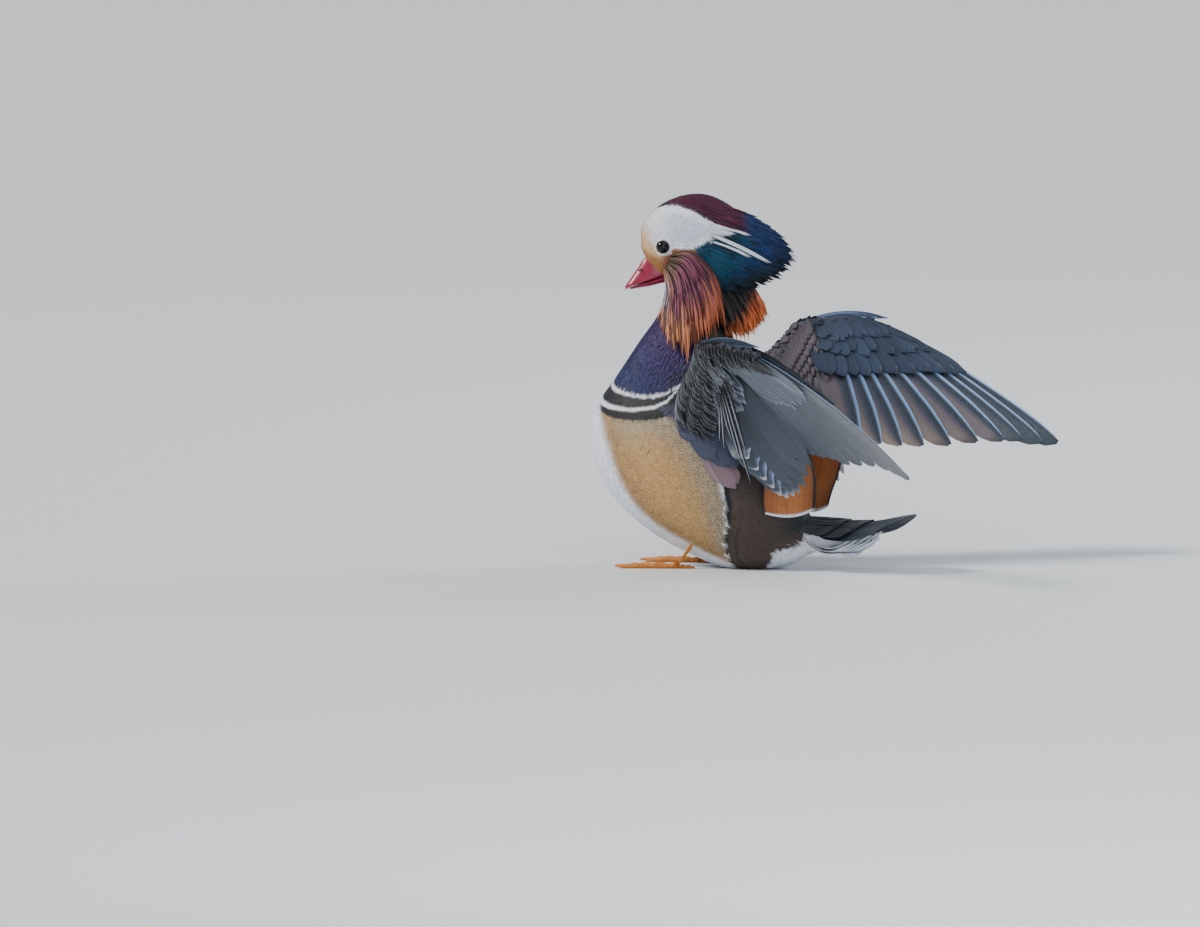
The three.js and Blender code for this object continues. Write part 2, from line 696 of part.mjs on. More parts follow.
// A webbed foot, flat underneath
function footForm() {
  const [heelX, heelY] = foot.heel;
  const pieces = [];
  const bar = (toX, toY, wide) => {
    const a = new THREE.Vector3(heelX, heelY, 0);
    const b = new THREE.Vector3(toX, toY, 0);
    const across = b.clone().sub(a).cross(new THREE.Vector3(0, 0, 1)).setLength(wide / 2);
    const rings = [[0, 1.1, foot.high], [0.45, 0.8, foot.high * 0.8], [0.9, 0.6, foot.high * 0.6],
      [1, 0.25, 0.8]].map(([share, width, high]) => {
      const centre = a.clone().lerp(b, share);
      const side = across.clone().multiplyScalar(width);
      return [
        centre.clone().add(side),
        centre.clone().addScaledVector(side, 0.7).setZ(high * 0.7),
        centre.clone().setZ(high),
        centre.clone().addScaledVector(side, -0.7).setZ(high * 0.7),
        centre.clone().sub(side),
      ];
    });
    return solidOf(loft(rings));
  };
  for (const [x, y] of foot.toes) {
    pieces.push(bar(x, y, foot.toeWide));
  }
  pieces.push(bar(...foot.hindToe, foot.toeWide * 0.8));
  const web = new THREE.Shape();
  web.moveTo(heelX + 2.5, heelY);
  const [outer, middle, inner] = foot.toes;
  web.lineTo(outer[0], outer[1] + 4);
  web.quadraticCurveTo((outer[0] + middle[0]) / 2, (outer[1] + middle[1]) / 2 + 9, middle[0],
    middle[1] + 4);
  web.quadraticCurveTo((inner[0] + middle[0]) / 2, (inner[1] + middle[1]) / 2 + 9, inner[0],
    inner[1] + 4);
  web.lineTo(heelX - 2.5, heelY);
  pieces.push(solidOf(new THREE.ExtrudeGeometry(web, { depth: foot.webHigh, bevelEnabled: false,
    curveSegments: 4 })));
  return joined(pieces);
}

const colours = {
  torso: 0xc39a63, neck: 0x2e2350, head: 0x5a2740, bill: 0xb5283f, eye: 0x0a0808, tail: 0x10293c,
  arm: 0x4a5462, hand: 0x2f4257, sail: 0x9c5322, foot: 0xd98a2b,
};

function mesh(name, geometry, colour, roughness) {
  const material = new THREE.MeshStandardMaterial({ color: colour, roughness, metalness: 0 });
  const result = new THREE.Mesh(geometry, material);
  result.name = name;
  return result;
}

const duck = new THREE.Group();
duck.name = 'mandarin_duck';
duck.position.set(0, -restY, 0);

// Body, parted with thin cuts
const body = bodyForm(0).subtract(belowFloor());
const backFeathers = scapularFeathers(0);
const torso = joined([body.subtract(blockAbove(neckFoot, 0)), ...backFeathers,
  ...backFeathers.map((feather) => solidOf(mirrored(geometryOf(feather))))]);
const neck = body.intersect(blockAbove(neckFoot, gap)).subtract(blockAbove(neckTop, 0));
const bodyCutter = bodyForm(gap);
const torsoCutter = joined([bodyCutter, ...scapularFeathers(gap)]);
duck.add(mesh('torso', geometryOf(torso), colours.torso, 0.8));
duck.add(mesh('neck', geometryOf(neck), colours.neck, 0.7));

// Head with its lids, crest and ruff
const skull = joined([headForm(0), body]).intersect(blockAbove(neckTop, gap));
const eyeCutter = joined([eyeForm(1, gap), eyeForm(-1, gap)]);
const locks = joined([...crestLocks(),
  ...[1, -1].flatMap((side) => [...hangingLocks(ruff, side), ...hangingLocks(nape, side)])]);
const bodyBelowHead = bodyCutter.subtract(blockAbove(neckTop, 0));
const head = joined([skull, lidForm(1), lidForm(-1), locks.subtract(bodyBelowHead)])
  .subtract(eyeCutter);
duck.add(mesh('head', geometryOf(head), colours.head, 0.7));
duck.add(mesh('eye_left', geometryOf(eyeForm(1, 0)), colours.eye, 0.1));
duck.add(mesh('eye_right', geometryOf(eyeForm(-1, 0)), colours.eye, 0.1));

const face = headForm(gap);
const billTop = mandible(upperBill, -1).subtract(face).subtract(joined([nostrilForm(1), nostrilForm(-1)]));
const billFoot = mandible(lowerBill, 1).subtract(face);
duck.add(mesh('bill_upper', geometryOf(billTop), colours.bill, 0.35));
duck.add(mesh('bill_lower', geometryOf(billFoot), colours.bill, 0.35));

duck.add(mesh('tail', geometryOf(joined([tailForm(), ...tailFeathers()]).subtract(bodyCutter)),
  colours.tail, 0.7));

// Wings: the left one is shaped and the right one mirrors it
const arm = joined([limbForm(armStations, 0, 12), ...armFeathers(0)]).subtract(torsoCutter);
const armCutter = joined([limbForm(armStations, gap, 12), ...armFeathers(1.5 * gap)]);
const hand = joined([limbForm(handStations, 0, 12), ...handFeathers()]).subtract(armCutter);
const sail = sailForm().subtract(armCutter).subtract(torsoCutter);
const leg = shankForm(0).subtract(bodyCutter);
const webbedFoot = footForm().subtract(shankForm(gap)).subtract(bodyCutter);

const paired = {
  wing_arm: [arm, colours.arm, 0.75],
  wing_hand: [hand, colours.hand, 0.7],
  sail: [sail, colours.sail, 0.7],
  leg: [leg, colours.foot, 0.6],
  foot: [webbedFoot, colours.foot, 0.6],
};
for (const [name, [solid, colour, roughness]] of Object.entries(paired)) {
  const geometry = geometryOf(solid);
  duck.add(mesh(`${name}_left`, geometry, colour, roughness));
  duck.add(mesh(`${name}_right`, mirrored(geometry), colour, roughness));
}

export default duck;
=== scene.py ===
# Looks of the mandarin drake: one skin, its plumage feather by feather, bill, eyes and feet
import math

import bmesh
import bpy
import numpy as np
from mathutils import Matrix, Vector
from mathutils.bvhtree import BVHTree
from mathutils.kdtree import KDTree


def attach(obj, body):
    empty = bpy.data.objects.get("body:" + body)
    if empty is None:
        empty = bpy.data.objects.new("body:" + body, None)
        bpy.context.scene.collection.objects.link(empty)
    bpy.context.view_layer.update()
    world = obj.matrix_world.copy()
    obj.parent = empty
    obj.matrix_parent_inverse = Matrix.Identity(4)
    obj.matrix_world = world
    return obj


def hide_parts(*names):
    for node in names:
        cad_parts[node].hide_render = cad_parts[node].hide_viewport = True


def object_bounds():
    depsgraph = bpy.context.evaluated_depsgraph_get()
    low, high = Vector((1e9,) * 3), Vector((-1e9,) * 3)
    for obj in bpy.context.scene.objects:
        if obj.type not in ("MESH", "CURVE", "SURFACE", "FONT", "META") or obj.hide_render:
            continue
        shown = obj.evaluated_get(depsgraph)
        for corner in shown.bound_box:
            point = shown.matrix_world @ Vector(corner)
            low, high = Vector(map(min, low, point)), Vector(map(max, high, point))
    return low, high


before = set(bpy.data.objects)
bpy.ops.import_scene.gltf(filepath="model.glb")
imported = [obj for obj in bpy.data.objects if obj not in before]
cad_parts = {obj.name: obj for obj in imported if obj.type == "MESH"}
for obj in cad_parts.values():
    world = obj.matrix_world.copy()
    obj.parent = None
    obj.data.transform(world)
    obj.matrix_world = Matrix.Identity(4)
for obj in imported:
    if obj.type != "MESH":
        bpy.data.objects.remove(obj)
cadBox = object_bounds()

mm = 0.001
reachLow, reachHigh = (np.array(corner) + inset for corner, inset in zip(cadBox, (0.0003, -0.0003)))
restY = 51  # the belly's flat, in the drawing's millimetres, is the frame's origin
draw = np.random.default_rng(7)


def linear(hexText, alpha=0.0):
    # sRGB hex to linear, with how strongly the feather is vermiculated as alpha
    values = [int(hexText[i:i + 2], 16) / 255 for i in (0, 2, 4)]
    return np.array([v / 12.92 if v <= 0.04045 else ((v + 0.055) / 1.055) ** 2.4 for v in values] + [alpha])


def metres(points):
    # the drawing's millimetres to metres in the frame
    return (np.asarray(points, float) - [0, restY, 0]) * mm


def unit(v):
    return v / np.maximum(np.linalg.norm(v, axis=-1, keepdims=True), 1e-12)


def square(v, axis):
    # the part of v across an axis, as a unit vector
    return unit(v - axis * np.sum(v * axis, axis=-1, keepdims=True))


def ramp(x, low, high):
    # 0 below low, 1 above high, smooth between
    share = np.clip((x - low) / (high - low), 0, 1)
    return share * share * (3 - 2 * share)


def blend(one, two, share):
    share = np.asarray(share)[..., None]
    return one * (1 - share) + two * share


def through(points, shares):
    # a centripetal curve through points, read at shares of its count
    pts = np.asarray(points, float)
    padded = np.vstack([2 * pts[0] - pts[1], pts, 2 * pts[-1] - pts[-2]])
    at = np.clip(np.asarray(shares, float), 0, 1) * (len(pts) - 1)
    i = np.minimum(at.astype(int), len(pts) - 2)
    w = (at - i)[..., None]
    a, b, c, d = (padded[i + k] for k in range(4))

    def stride(p, q):
        return np.maximum(np.sum((q - p) ** 2, axis=-1, keepdims=True) ** 0.25, 1e-4)

    ab, bc, cd = stride(a, b), stride(b, c), stride(c, d)
    m1 = ((b - a) / ab - (c - a) / (ab + bc) + (c - b) / bc) * bc
    m2 = ((c - b) / bc - (d - b) / (bc + cd) + (d - c) / cd) * bc
    return b + m1 * w + (-3 * b + 3 * c - 2 * m1 - m2) * w ** 2 + (2 * b - 2 * c + m1 + m2) * w ** 3


# Camera and light

photoView = {"azimuth": 110, "elevation": 5, "aim": (18.2, -121.9, 81.3), "away": 14.0, "wide": 0.96}


def standCamera():
    a, e = math.radians(photoView["azimuth"]), math.radians(photoView["elevation"])
    back = Vector((math.sin(a) * math.cos(e), -math.cos(a) * math.cos(e), math.sin(e)))
    data = bpy.data.cameras.new("camera")
    data.sensor_width = 36
    data.lens = data.sensor_width * photoView["away"] / photoView["wide"]
    data.clip_end = 60
    camera = bpy.data.objects.new("camera", data)
    bpy.context.scene.collection.objects.link(camera)
    camera.location = Vector(photoView["aim"]) * mm + back * photoView["away"]
    camera.rotation_mode = "QUATERNION"
    camera.rotation_quaternion = (-back).to_track_quat("-Z", "Y")
    bpy.context.scene.camera = camera


lamps = {
    "daylight": {"kind": "SUN", "at": (1.3, -2.1, 2.2), "soft": 0.26, "power": 3.3, "colour": (1.0, 0.965, 0.92)},
    "sky": {"kind": "SUN", "at": (0.3, 1.2, 2.6), "soft": 0.9, "power": 0.75, "colour": (0.86, 0.93, 1.0)},
    "side": {"kind": "AREA", "at": (2.2, 1.2, 1.0), "soft": 1.6, "power": 15, "colour": (0.92, 0.96, 1.0)},
    "rim": {"kind": "AREA", "at": (-1.9, 1.5, 1.3), "soft": 1.2, "power": 30, "colour": (0.80, 0.90, 1.0)},
}


def hangLights():
    for name, spec in lamps.items():
        data = bpy.data.lights.new(name, spec["kind"])
        if spec["kind"] == "SUN":
            data.angle = spec["soft"]
        else:
            data.shape = "DISK"
            data.size = spec["soft"]
        data.energy = spec["power"]
        data.color = spec["colour"]
        lamp = bpy.data.objects.new(name, data)
        bpy.context.scene.collection.objects.link(lamp)
        lamp.location = spec["at"]
        lamp.rotation_mode = "QUATERNION"
        lamp.rotation_quaternion = (Vector((0, 0, 0.12)) - lamp.location).to_track_quat("-Z", "Y")
    world = bpy.data.worlds.new("studio")
    bpy.context.scene.world = world
    world.use_nodes = True
    shade = world.node_tree.nodes["Background"]
    shade.inputs["Color"].default_value = (0.78, 0.83, 0.90, 1)
    shade.inputs["Strength"].default_value = 0.5


# Materials

def addNode(tree, kind, settings=(), inputs=()):
    node = tree.nodes.new("ShaderNode" + kind)
    for key, value in dict(settings).items():
        setattr(node, key, value)
    for key, value in dict(inputs).items():
        if isinstance(value, bpy.types.NodeSocket):
            tree.links.new(value, node.inputs[key])
        else:
            node.inputs[key].default_value = value
    return node


def newMaterial(name):
    material = bpy.data.materials.new(name)
    material.use_nodes = True
    tree = material.node_tree
    return material, tree, tree.nodes["Principled BSDF"]


def mathNode(tree, operation, a, b=0.0, clamp=False):
    return addNode(tree, "Math", {"operation": operation, "use_clamp": clamp}, {0: a, 1: b}).outputs[0]


# Feather keratin: matt, with a soft sheen from its barbs; barbs are drawn wider than the real 0.3 mm to show
def plumageMaterial(name, look):
    material, tree, shader = newMaterial(name)
    colour = addNode(tree, "Attribute", {"attribute_name": "plumage"})
    place = addNode(tree, "UVMap", {"uv_map": "featherUV"})
    split = addNode(tree, "SeparateXYZ", {}, {0: place.outputs[0]})
    across = mathNode(tree, "ABSOLUTE", mathNode(tree, "SUBTRACT", split.outputs[0], 0.5))
    where = addNode(tree, "TexCoord").outputs["Object"]
    grain = addNode(tree, "TexNoise", {}, {"Vector": where, "Scale": 1 / (look["grain"] * mm), "Detail": 3.0})
    slant = mathNode(tree, "MULTIPLY", across, -look["slant"])
    wander = mathNode(tree, "MULTIPLY", grain.outputs[0], 0.25)
    phase = mathNode(tree, "ADD", mathNode(tree, "ADD", split.outputs[1], slant), wander)
    barbs = mathNode(tree, "SINE", mathNode(tree, "MULTIPLY", phase, look["barbs"] * math.tau))
    lit = mathNode(tree, "MULTIPLY_ADD", barbs, look["depth"])
    lit.node.inputs[2].default_value = 1.0
    cloud = mathNode(tree, "MULTIPLY_ADD", grain.outputs[0], look["mottle"])
    cloud.node.inputs[2].default_value = 1.0 - look["mottle"] / 2
    shade = mathNode(tree, "MULTIPLY", lit, cloud)
    if look.get("bars"):
        swirl = addNode(tree, "TexNoise", {}, {"Vector": where, "Scale": 1 / (2.2 * mm), "Detail": 1.0})
        bent = mathNode(tree, "MULTIPLY_ADD", swirl.outputs[0], 0.16)
        tree.links.new(split.outputs[1], bent.node.inputs[2])
        wave = mathNode(tree, "SINE", mathNode(tree, "MULTIPLY", bent, look["bars"] * math.tau))
        dark = mathNode(tree, "MULTIPLY", mathNode(tree, "GREATER_THAN", wave, 0.15), colour.outputs["Alpha"])
        keep = mathNode(tree, "MULTIPLY_ADD", dark, -0.6)
        keep.node.inputs[2].default_value = 1.0
        shade = mathNode(tree, "MULTIPLY", shade, keep)
    base = addNode(tree, "VectorMath", {"operation": "SCALE"}, {0: colour.outputs["Color"], "Scale": shade}).outputs[0]
    if look.get("streak"):
        line = mathNode(tree, "SUBTRACT", 1.0, mathNode(tree, "MULTIPLY", across, 1 / look["streakWide"]), True)
        faint = mathNode(tree, "MULTIPLY", line, colour.outputs["Alpha"])
        base = addNode(tree, "Mix", {"data_type": "RGBA"},
                       {0: faint, 6: base, 7: linear(look["streak"], 1.0)}).outputs[2]
    tree.links.new(base, shader.inputs["Base Color"])
    bump = addNode(tree, "Bump", {}, {"Strength": look["relief"], "Distance": 0.12 * mm, "Height": barbs})
    tree.links.new(bump.outputs[0], shader.inputs["Normal"])
    shader.inputs["Roughness"].default_value = look["rough"]
    shader.inputs["Metallic"].default_value = look.get("metal", 0.0)
    shader.inputs["Sheen Weight"].default_value = look.get("sheen", 0.07)
    shader.inputs["Sheen Roughness"].default_value = 0.4
    shader.inputs["Specular IOR Level"].default_value = look.get("specular", 0.35)
    return material


plumageLooks = {
    "contourFeather": {"grain": 2.5, "slant": 1.2, "barbs": 7, "depth": 0.10, "mottle": 0.22, "relief": 0.5,
                       "rough": 0.62, "bars": 8},
    "silkyFeather": {"grain": 1.6, "slant": 0.3, "barbs": 3, "depth": 0.06, "mottle": 0.14, "relief": 0.35,
                     "rough": 0.5},
    "iridescentFeather": {"grain": 2.0, "slant": 0.8, "barbs": 5, "depth": 0.16, "mottle": 0.4, "relief": 0.6,
                          "rough": 0.4, "metal": 0.25, "sheen": 0.0, "specular": 0.4},
    "hackleFeather": {"grain": 2.0, "slant": 0.5, "barbs": 9, "depth": 0.12, "mottle": 0.3, "relief": 0.6,
                      "rough": 0.45, "streak": "F0BE98", "streakWide": 0.15},
    "vaneFeather": {"grain": 5.0, "slant": 0.35, "barbs": 34, "depth": 0.09, "mottle": 0.2, "relief": 0.5,
                    "rough": 0.44, "sheen": 0.2, "specular": 0.45},
    "covertFeather": {"grain": 3.0, "slant": 0.5, "barbs": 13, "depth": 0.10, "mottle": 0.22, "relief": 0.5,
                      "rough": 0.5, "sheen": 0.2},
}


def makeMaterials():
    made = {name: plumageMaterial(name, look) for name, look in plumageLooks.items()}

    # Down-covered skin under the feathers
    skin, tree, shader = newMaterial("downySkin")
    colour = addNode(tree, "Attribute", {"attribute_name": "plumage"})
    where = addNode(tree, "TexCoord").outputs["Object"]
    fluff = addNode(tree, "TexNoise", {}, {"Vector": where, "Scale": 1 / (0.9 * mm), "Detail": 4.0})
    level = mathNode(tree, "MULTIPLY_ADD", fluff.outputs[0], 0.5)
    level.node.inputs[2].default_value = 0.55
    base = addNode(tree, "VectorMath", {"operation": "SCALE"}, {0: colour.outputs["Color"], "Scale": level})
    tree.links.new(base.outputs[0], shader.inputs["Base Color"])
    bump = addNode(tree, "Bump", {}, {"Strength": 0.7, "Distance": 0.4 * mm, "Height": fluff.outputs[0]})
    tree.links.new(bump.outputs[0], shader.inputs["Normal"])
    shader.inputs["Roughness"].default_value = 0.8
    made["downySkin"] = skin

    # Bill sheath: waxy keratin, thin growth streaks along it
    for name, low, high in (("billSheath", "5E0A26", "A82548"), ("billNail", "C98C84", "F0D6CC")):
        horn, tree, shader = newMaterial(name)
        where = addNode(tree, "TexCoord").outputs["Object"]
        blotch = addNode(tree, "TexNoise", {}, {"Vector": where, "Scale": 1 / (7 * mm), "Detail": 4.0})
        stretch = addNode(tree, "Mapping", {}, {"Vector": where, "Scale": (1, 0.3, 1)})
        fine = addNode(tree, "TexNoise", {}, {"Vector": stretch.outputs[0], "Scale": 1 / (0.7 * mm), "Detail": 3.0})
        tone = mathNode(tree, "MULTIPLY_ADD", fine.outputs[0], 0.5)
        tree.links.new(mathNode(tree, "MULTIPLY", blotch.outputs[0], 0.8), tone.node.inputs[2])
        mix = addNode(tree, "Mix", {"data_type": "RGBA", "clamp_factor": True},
                      {0: tone, 6: linear(low, 1.0), 7: linear(high, 1.0)})
        tree.links.new(mix.outputs[2], shader.inputs["Base Color"])
        bump = addNode(tree, "Bump", {}, {"Strength": 0.25, "Distance": 0.15 * mm, "Height": fine.outputs[0]})
        tree.links.new(bump.outputs[0], shader.inputs["Normal"])
        shader.inputs["Roughness"].default_value = 0.32
        shader.inputs["Subsurface Weight"].default_value = 0.12
        shader.inputs["Subsurface Radius"].default_value = (0.003, 0.001, 0.001)
        shader.inputs["Subsurface Scale"].default_value = 1.0
        shader.inputs["Coat Weight"].default_value = 0.2
        made[name] = horn

    # Eye: dark brown iris and black pupil under a wet cornea
    ball, tree, shader = newMaterial("wetEye")
    rim = addNode(tree, "Attribute", {"attribute_name": "iris"})
    mix = addNode(tree, "Mix", {"data_type": "RGBA"},
                  {0: rim.outputs["Fac"], 6: linear("020203", 1.0), 7: linear("1A0D08", 1.0)})
    tree.links.new(mix.outputs[2], shader.inputs["Base Color"])
    shader.inputs["Roughness"].default_value = 0.12
    shader.inputs["Specular IOR Level"].default_value = 0.15
    shader.inputs["Coat Weight"].default_value = 0.4
    shader.inputs["Coat Roughness"].default_value = 0.03
    made["wetEye"] = ball

    # Bare lid edge, dark and slightly moist
    edge, tree, shader = newMaterial("lidSkin")
    where = addNode(tree, "TexCoord").outputs["Object"]
    wrinkle = addNode(tree, "TexVoronoi", {}, {"Vector": where, "Scale": 1 / (0.6 * mm)})
    mix = addNode(tree, "Mix", {"data_type": "RGBA"},
                  {0: wrinkle.outputs["Distance"], 6: linear("17130F", 1.0), 7: linear("3B342C", 1.0)})
    tree.links.new(mix.outputs[2], shader.inputs["Base Color"])
    shader.inputs["Roughness"].default_value = 0.4
    made["lidSkin"] = edge

    # Scaled skin of the feet: orange, with small round scutes of about 1.4 mm
    for name, low, high in (("footScutes", "9A5514", "E08A2C"), ("footWeb", "7A4414", "C9772A")):
        scale, tree, shader = newMaterial(name)
        where = addNode(tree, "TexCoord").outputs["Object"]
        cells = addNode(tree, "TexVoronoi", {}, {"Vector": where, "Scale": 1 / (1.4 * mm)})
        mix = addNode(tree, "Mix", {"data_type": "RGBA"},
                      {0: cells.outputs["Distance"], 6: linear(high, 1.0), 7: linear(low, 1.0)})
        tree.links.new(mix.outputs[2], shader.inputs["Base Color"])
        bump = addNode(tree, "Bump", {"invert": True},
                       {"Strength": 0.7, "Distance": 0.3 * mm, "Height": cells.outputs["Distance"]})
        tree.links.new(bump.outputs[0], shader.inputs["Normal"])
        shader.inputs["Roughness"].default_value = 0.48
        made[name] = scale

    # Claw and shaft: polished horn
    for name, tone in (("clawHorn", "2B2119"), ("shaftHorn", "1A2029"), ("paleShaft", "8F9AAA")):
        horn, tree, shader = newMaterial(name)
        where = addNode(tree, "TexCoord").outputs["Object"]
        fine = addNode(tree, "TexNoise", {}, {"Vector": where, "Scale": 1 / (1.5 * mm), "Detail": 2.0})
        level = mathNode(tree, "MULTIPLY_ADD", fine.outputs[0], 0.6)
        level.node.inputs[2].default_value = 0.7
        base = addNode(tree, "VectorMath", {"operation": "SCALE"}, {0: tuple(linear(tone)[:3]), "Scale": level})
        tree.links.new(base.outputs[0], shader.inputs["Base Color"])
        shader.inputs["Roughness"].default_value = 0.35
        made[name] = horn

    # Studio floor: matt paper
    paper, tree, shader = newMaterial("floorPaper")
    where = addNode(tree, "TexCoord").outputs["Object"]
    fleck = addNode(tree, "TexNoise", {}, {"Vector": where, "Scale": 1 / (3 * mm), "Detail": 2.0})
    mix = addNode(tree, "Mix", {"data_type": "RGBA"},
                  {0: fleck.outputs[0], 6: linear("D3D6D6", 1.0), 7: linear("DDE0E0", 1.0)})
    tree.links.new(mix.outputs[2], shader.inputs["Base Color"])
    shader.inputs["Roughness"].default_value = 0.75
    made["floorPaper"] = paper
    return made


# Shapes shared by the pieces

def addPiece(name, mesh, material, slotName, body="root"):
    piece = bpy.data.objects.new(name, mesh)
    bpy.context.scene.collection.objects.link(piece)
    if material:
        mesh.materials.append(material)
    if slotName:
        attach(piece, body)
    return piece


def meshOf(bm, name):
    mesh = bpy.data.meshes.new(name)
    bm.to_mesh(mesh)
    bm.free()
    mesh.shade_smooth()
    return mesh


def loft(bm, rings, segments=28, bend=None):
    # a closed shell through ovals: each a centre and two half-axes, in metres
    loops = []
    for centre, halfA, halfB in rings:
        a, b = Vector(halfA), Vector(halfB)
        turn = Matrix((a, b, a.cross(b).normalized())).transposed().to_4x4()
        turn.translation = Vector(centre)
        made = bmesh.ops.create_circle(bm, segments=segments, radius=1)["verts"]
        for vert in made:
            if bend:
                vert.co = bend(vert.co)
        bmesh.ops.transform(bm, matrix=turn, verts=made)
        loops.append(list({edge for vert in made for edge in vert.link_edges}))
    shell = []
    for one, two in zip(loops, loops[1:]):
        shell += bmesh.ops.bridge_loops(bm, edges=one + two)["faces"]
    for end in (loops[0], loops[-1]):
        shell += bmesh.ops.edgeloop_fill(bm, edges=end)["faces"]
    bmesh.ops.recalc_face_normals(bm, faces=shell)
    return shell


# Body and neck: front and back points (y, z) and half-width, from the neck to the rump
bodyShape = {
    "front": [(-17, 244), (-20, 220), (-29, 199), (-42, 181), (-63, 150), (-81, 124), (-84, 100), (-77, 73),
              (-59, 48), (-32, 26), (6, 7), (42, -4), (78, 0), (100, 12)],
    "back": [(12, 244), (16, 222), (21, 205), (31, 190), (45, 168), (57, 147), (68, 125), (77, 103),
             (85, 83), (91, 67), (95, 56), (98, 49), (99.5, 44), (100, 41)],
    "half": [15, 19, 24, 32, 42, 50, 54, 55, 53, 48, 40, 31, 21, 14],
}
bodyFront = [(h, y, z) for h, (y, z) in zip(bodyShape["half"], bodyShape["front"])]
bodyBack = [(h, y, z) for h, (y, z) in zip(bodyShape["half"], bodyShape["back"])]


def bodyRing(t):
    front, back = through(bodyFront, t), through(bodyBack, t)
    half = (front[..., 0] + back[..., 0]) / 2
    front, back = front.copy(), back.copy()
    front[..., 0] = back[..., 0] = 0
    return front, back, half


def bodyPoint(s, t, lift=0.0):
    # s from the belly, 0, to the back, 1, and negative on the right; t from the neck to the rump
    front, back, half = bodyRing(t)
    out = unit(front - back)
    s = np.asarray(s)
    point = (front + back) / 2 + ((front - back) / 2 + out * lift) * np.cos(s * np.pi)[..., None]
    point[..., 0] = (half + lift) * np.sin(s * np.pi)
    return metres(point)


# Head: its centre, its turn and stations forward of the centre
headShape = {
    "centre": (0, -9, 258),
    "turn": math.radians(20),
    "at": [32.5, 30, 24.5, 16, 5, -8, -20, -33, -45, -55],
    "top": [11, 18, 25.5, 32.5, 38, 41.2, 41, 36, 28, 17],
    "bottom": [-1, -8, -19, -28, -34, -38, -40, -34, -27, -19],
    "half": [4, 8.5, 12, 15, 17.5, 19.5, 19.5, 16.5, 11.5, 6],
}
headForward = np.array([math.sin(headShape["turn"]), -math.cos(headShape["turn"]), 0])
headSide = np.array([math.cos(headShape["turn"]), math.sin(headShape["turn"]), 0])
headUp = np.array([0, 0, 1.0])


def headPoint(forward, up, side):
    forward, up, side = (np.asarray(v, float)[..., None] for v in (forward, up, side))
    return metres(np.array(headShape["centre"]) + headForward * forward + headUp * up + headSide * side)


def headRing(t):
    rows = np.column_stack([headShape[k] for k in ("at", "top", "bottom", "half")])
    return np.moveaxis(through(rows, t), -1, 0)


# Wings: leading and trailing edge and thickness, shoulder to hand, left side
wingShape = {
    "arm": {
        "lead": [(36, 2, 118), (58, 8, 136), (80, 20, 154), (100, 36, 173), (117, 46, 189)],
        "trail": [(42, 34, 110), (62, 44, 126), (82, 52, 142), (104, 58, 162), (121, 64, 182)],
        "thick": [18, 15, 13, 11, 10],
    },
    "hand": {
        "lead": [(114, 44, 187), (122, 51, 190), (138, 72, 190), (152, 98, 187), (156, 110, 184)],
        "trail": [(114, 66, 180), (121, 70, 183), (133, 88, 183), (145, 106, 182), (152, 114, 181)],
        "thick": [9, 9, 7, 5, 2.5],
    },
}


def limbFrame(part, t):
    shape = wingShape[part]
    lead, trail = through(shape["lead"], t), through(shape["trail"], t)
    thick = np.interp(t, np.linspace(0, 1, len(shape["thick"])), shape["thick"])
    step = 0.01
    middle = [through(shape["lead"], t + d) + through(shape["trail"], t + d) for d in (-step, step)]
    span = unit(middle[1] - middle[0])
    dorsal = unit(np.cross(lead - trail, span))
    return lead, trail, thick, span, dorsal


tailRoot = {"at": [92, 112, 126, 138, 149, 157], "bottom": [12, 14, 18, 22, 26, 29.5], "top": [42, 41.5, 41, 38, 35, 32.5],
            "half": [15, 17, 17, 15, 11, 6]}


# Where each feather of the coat grows and which way it lies

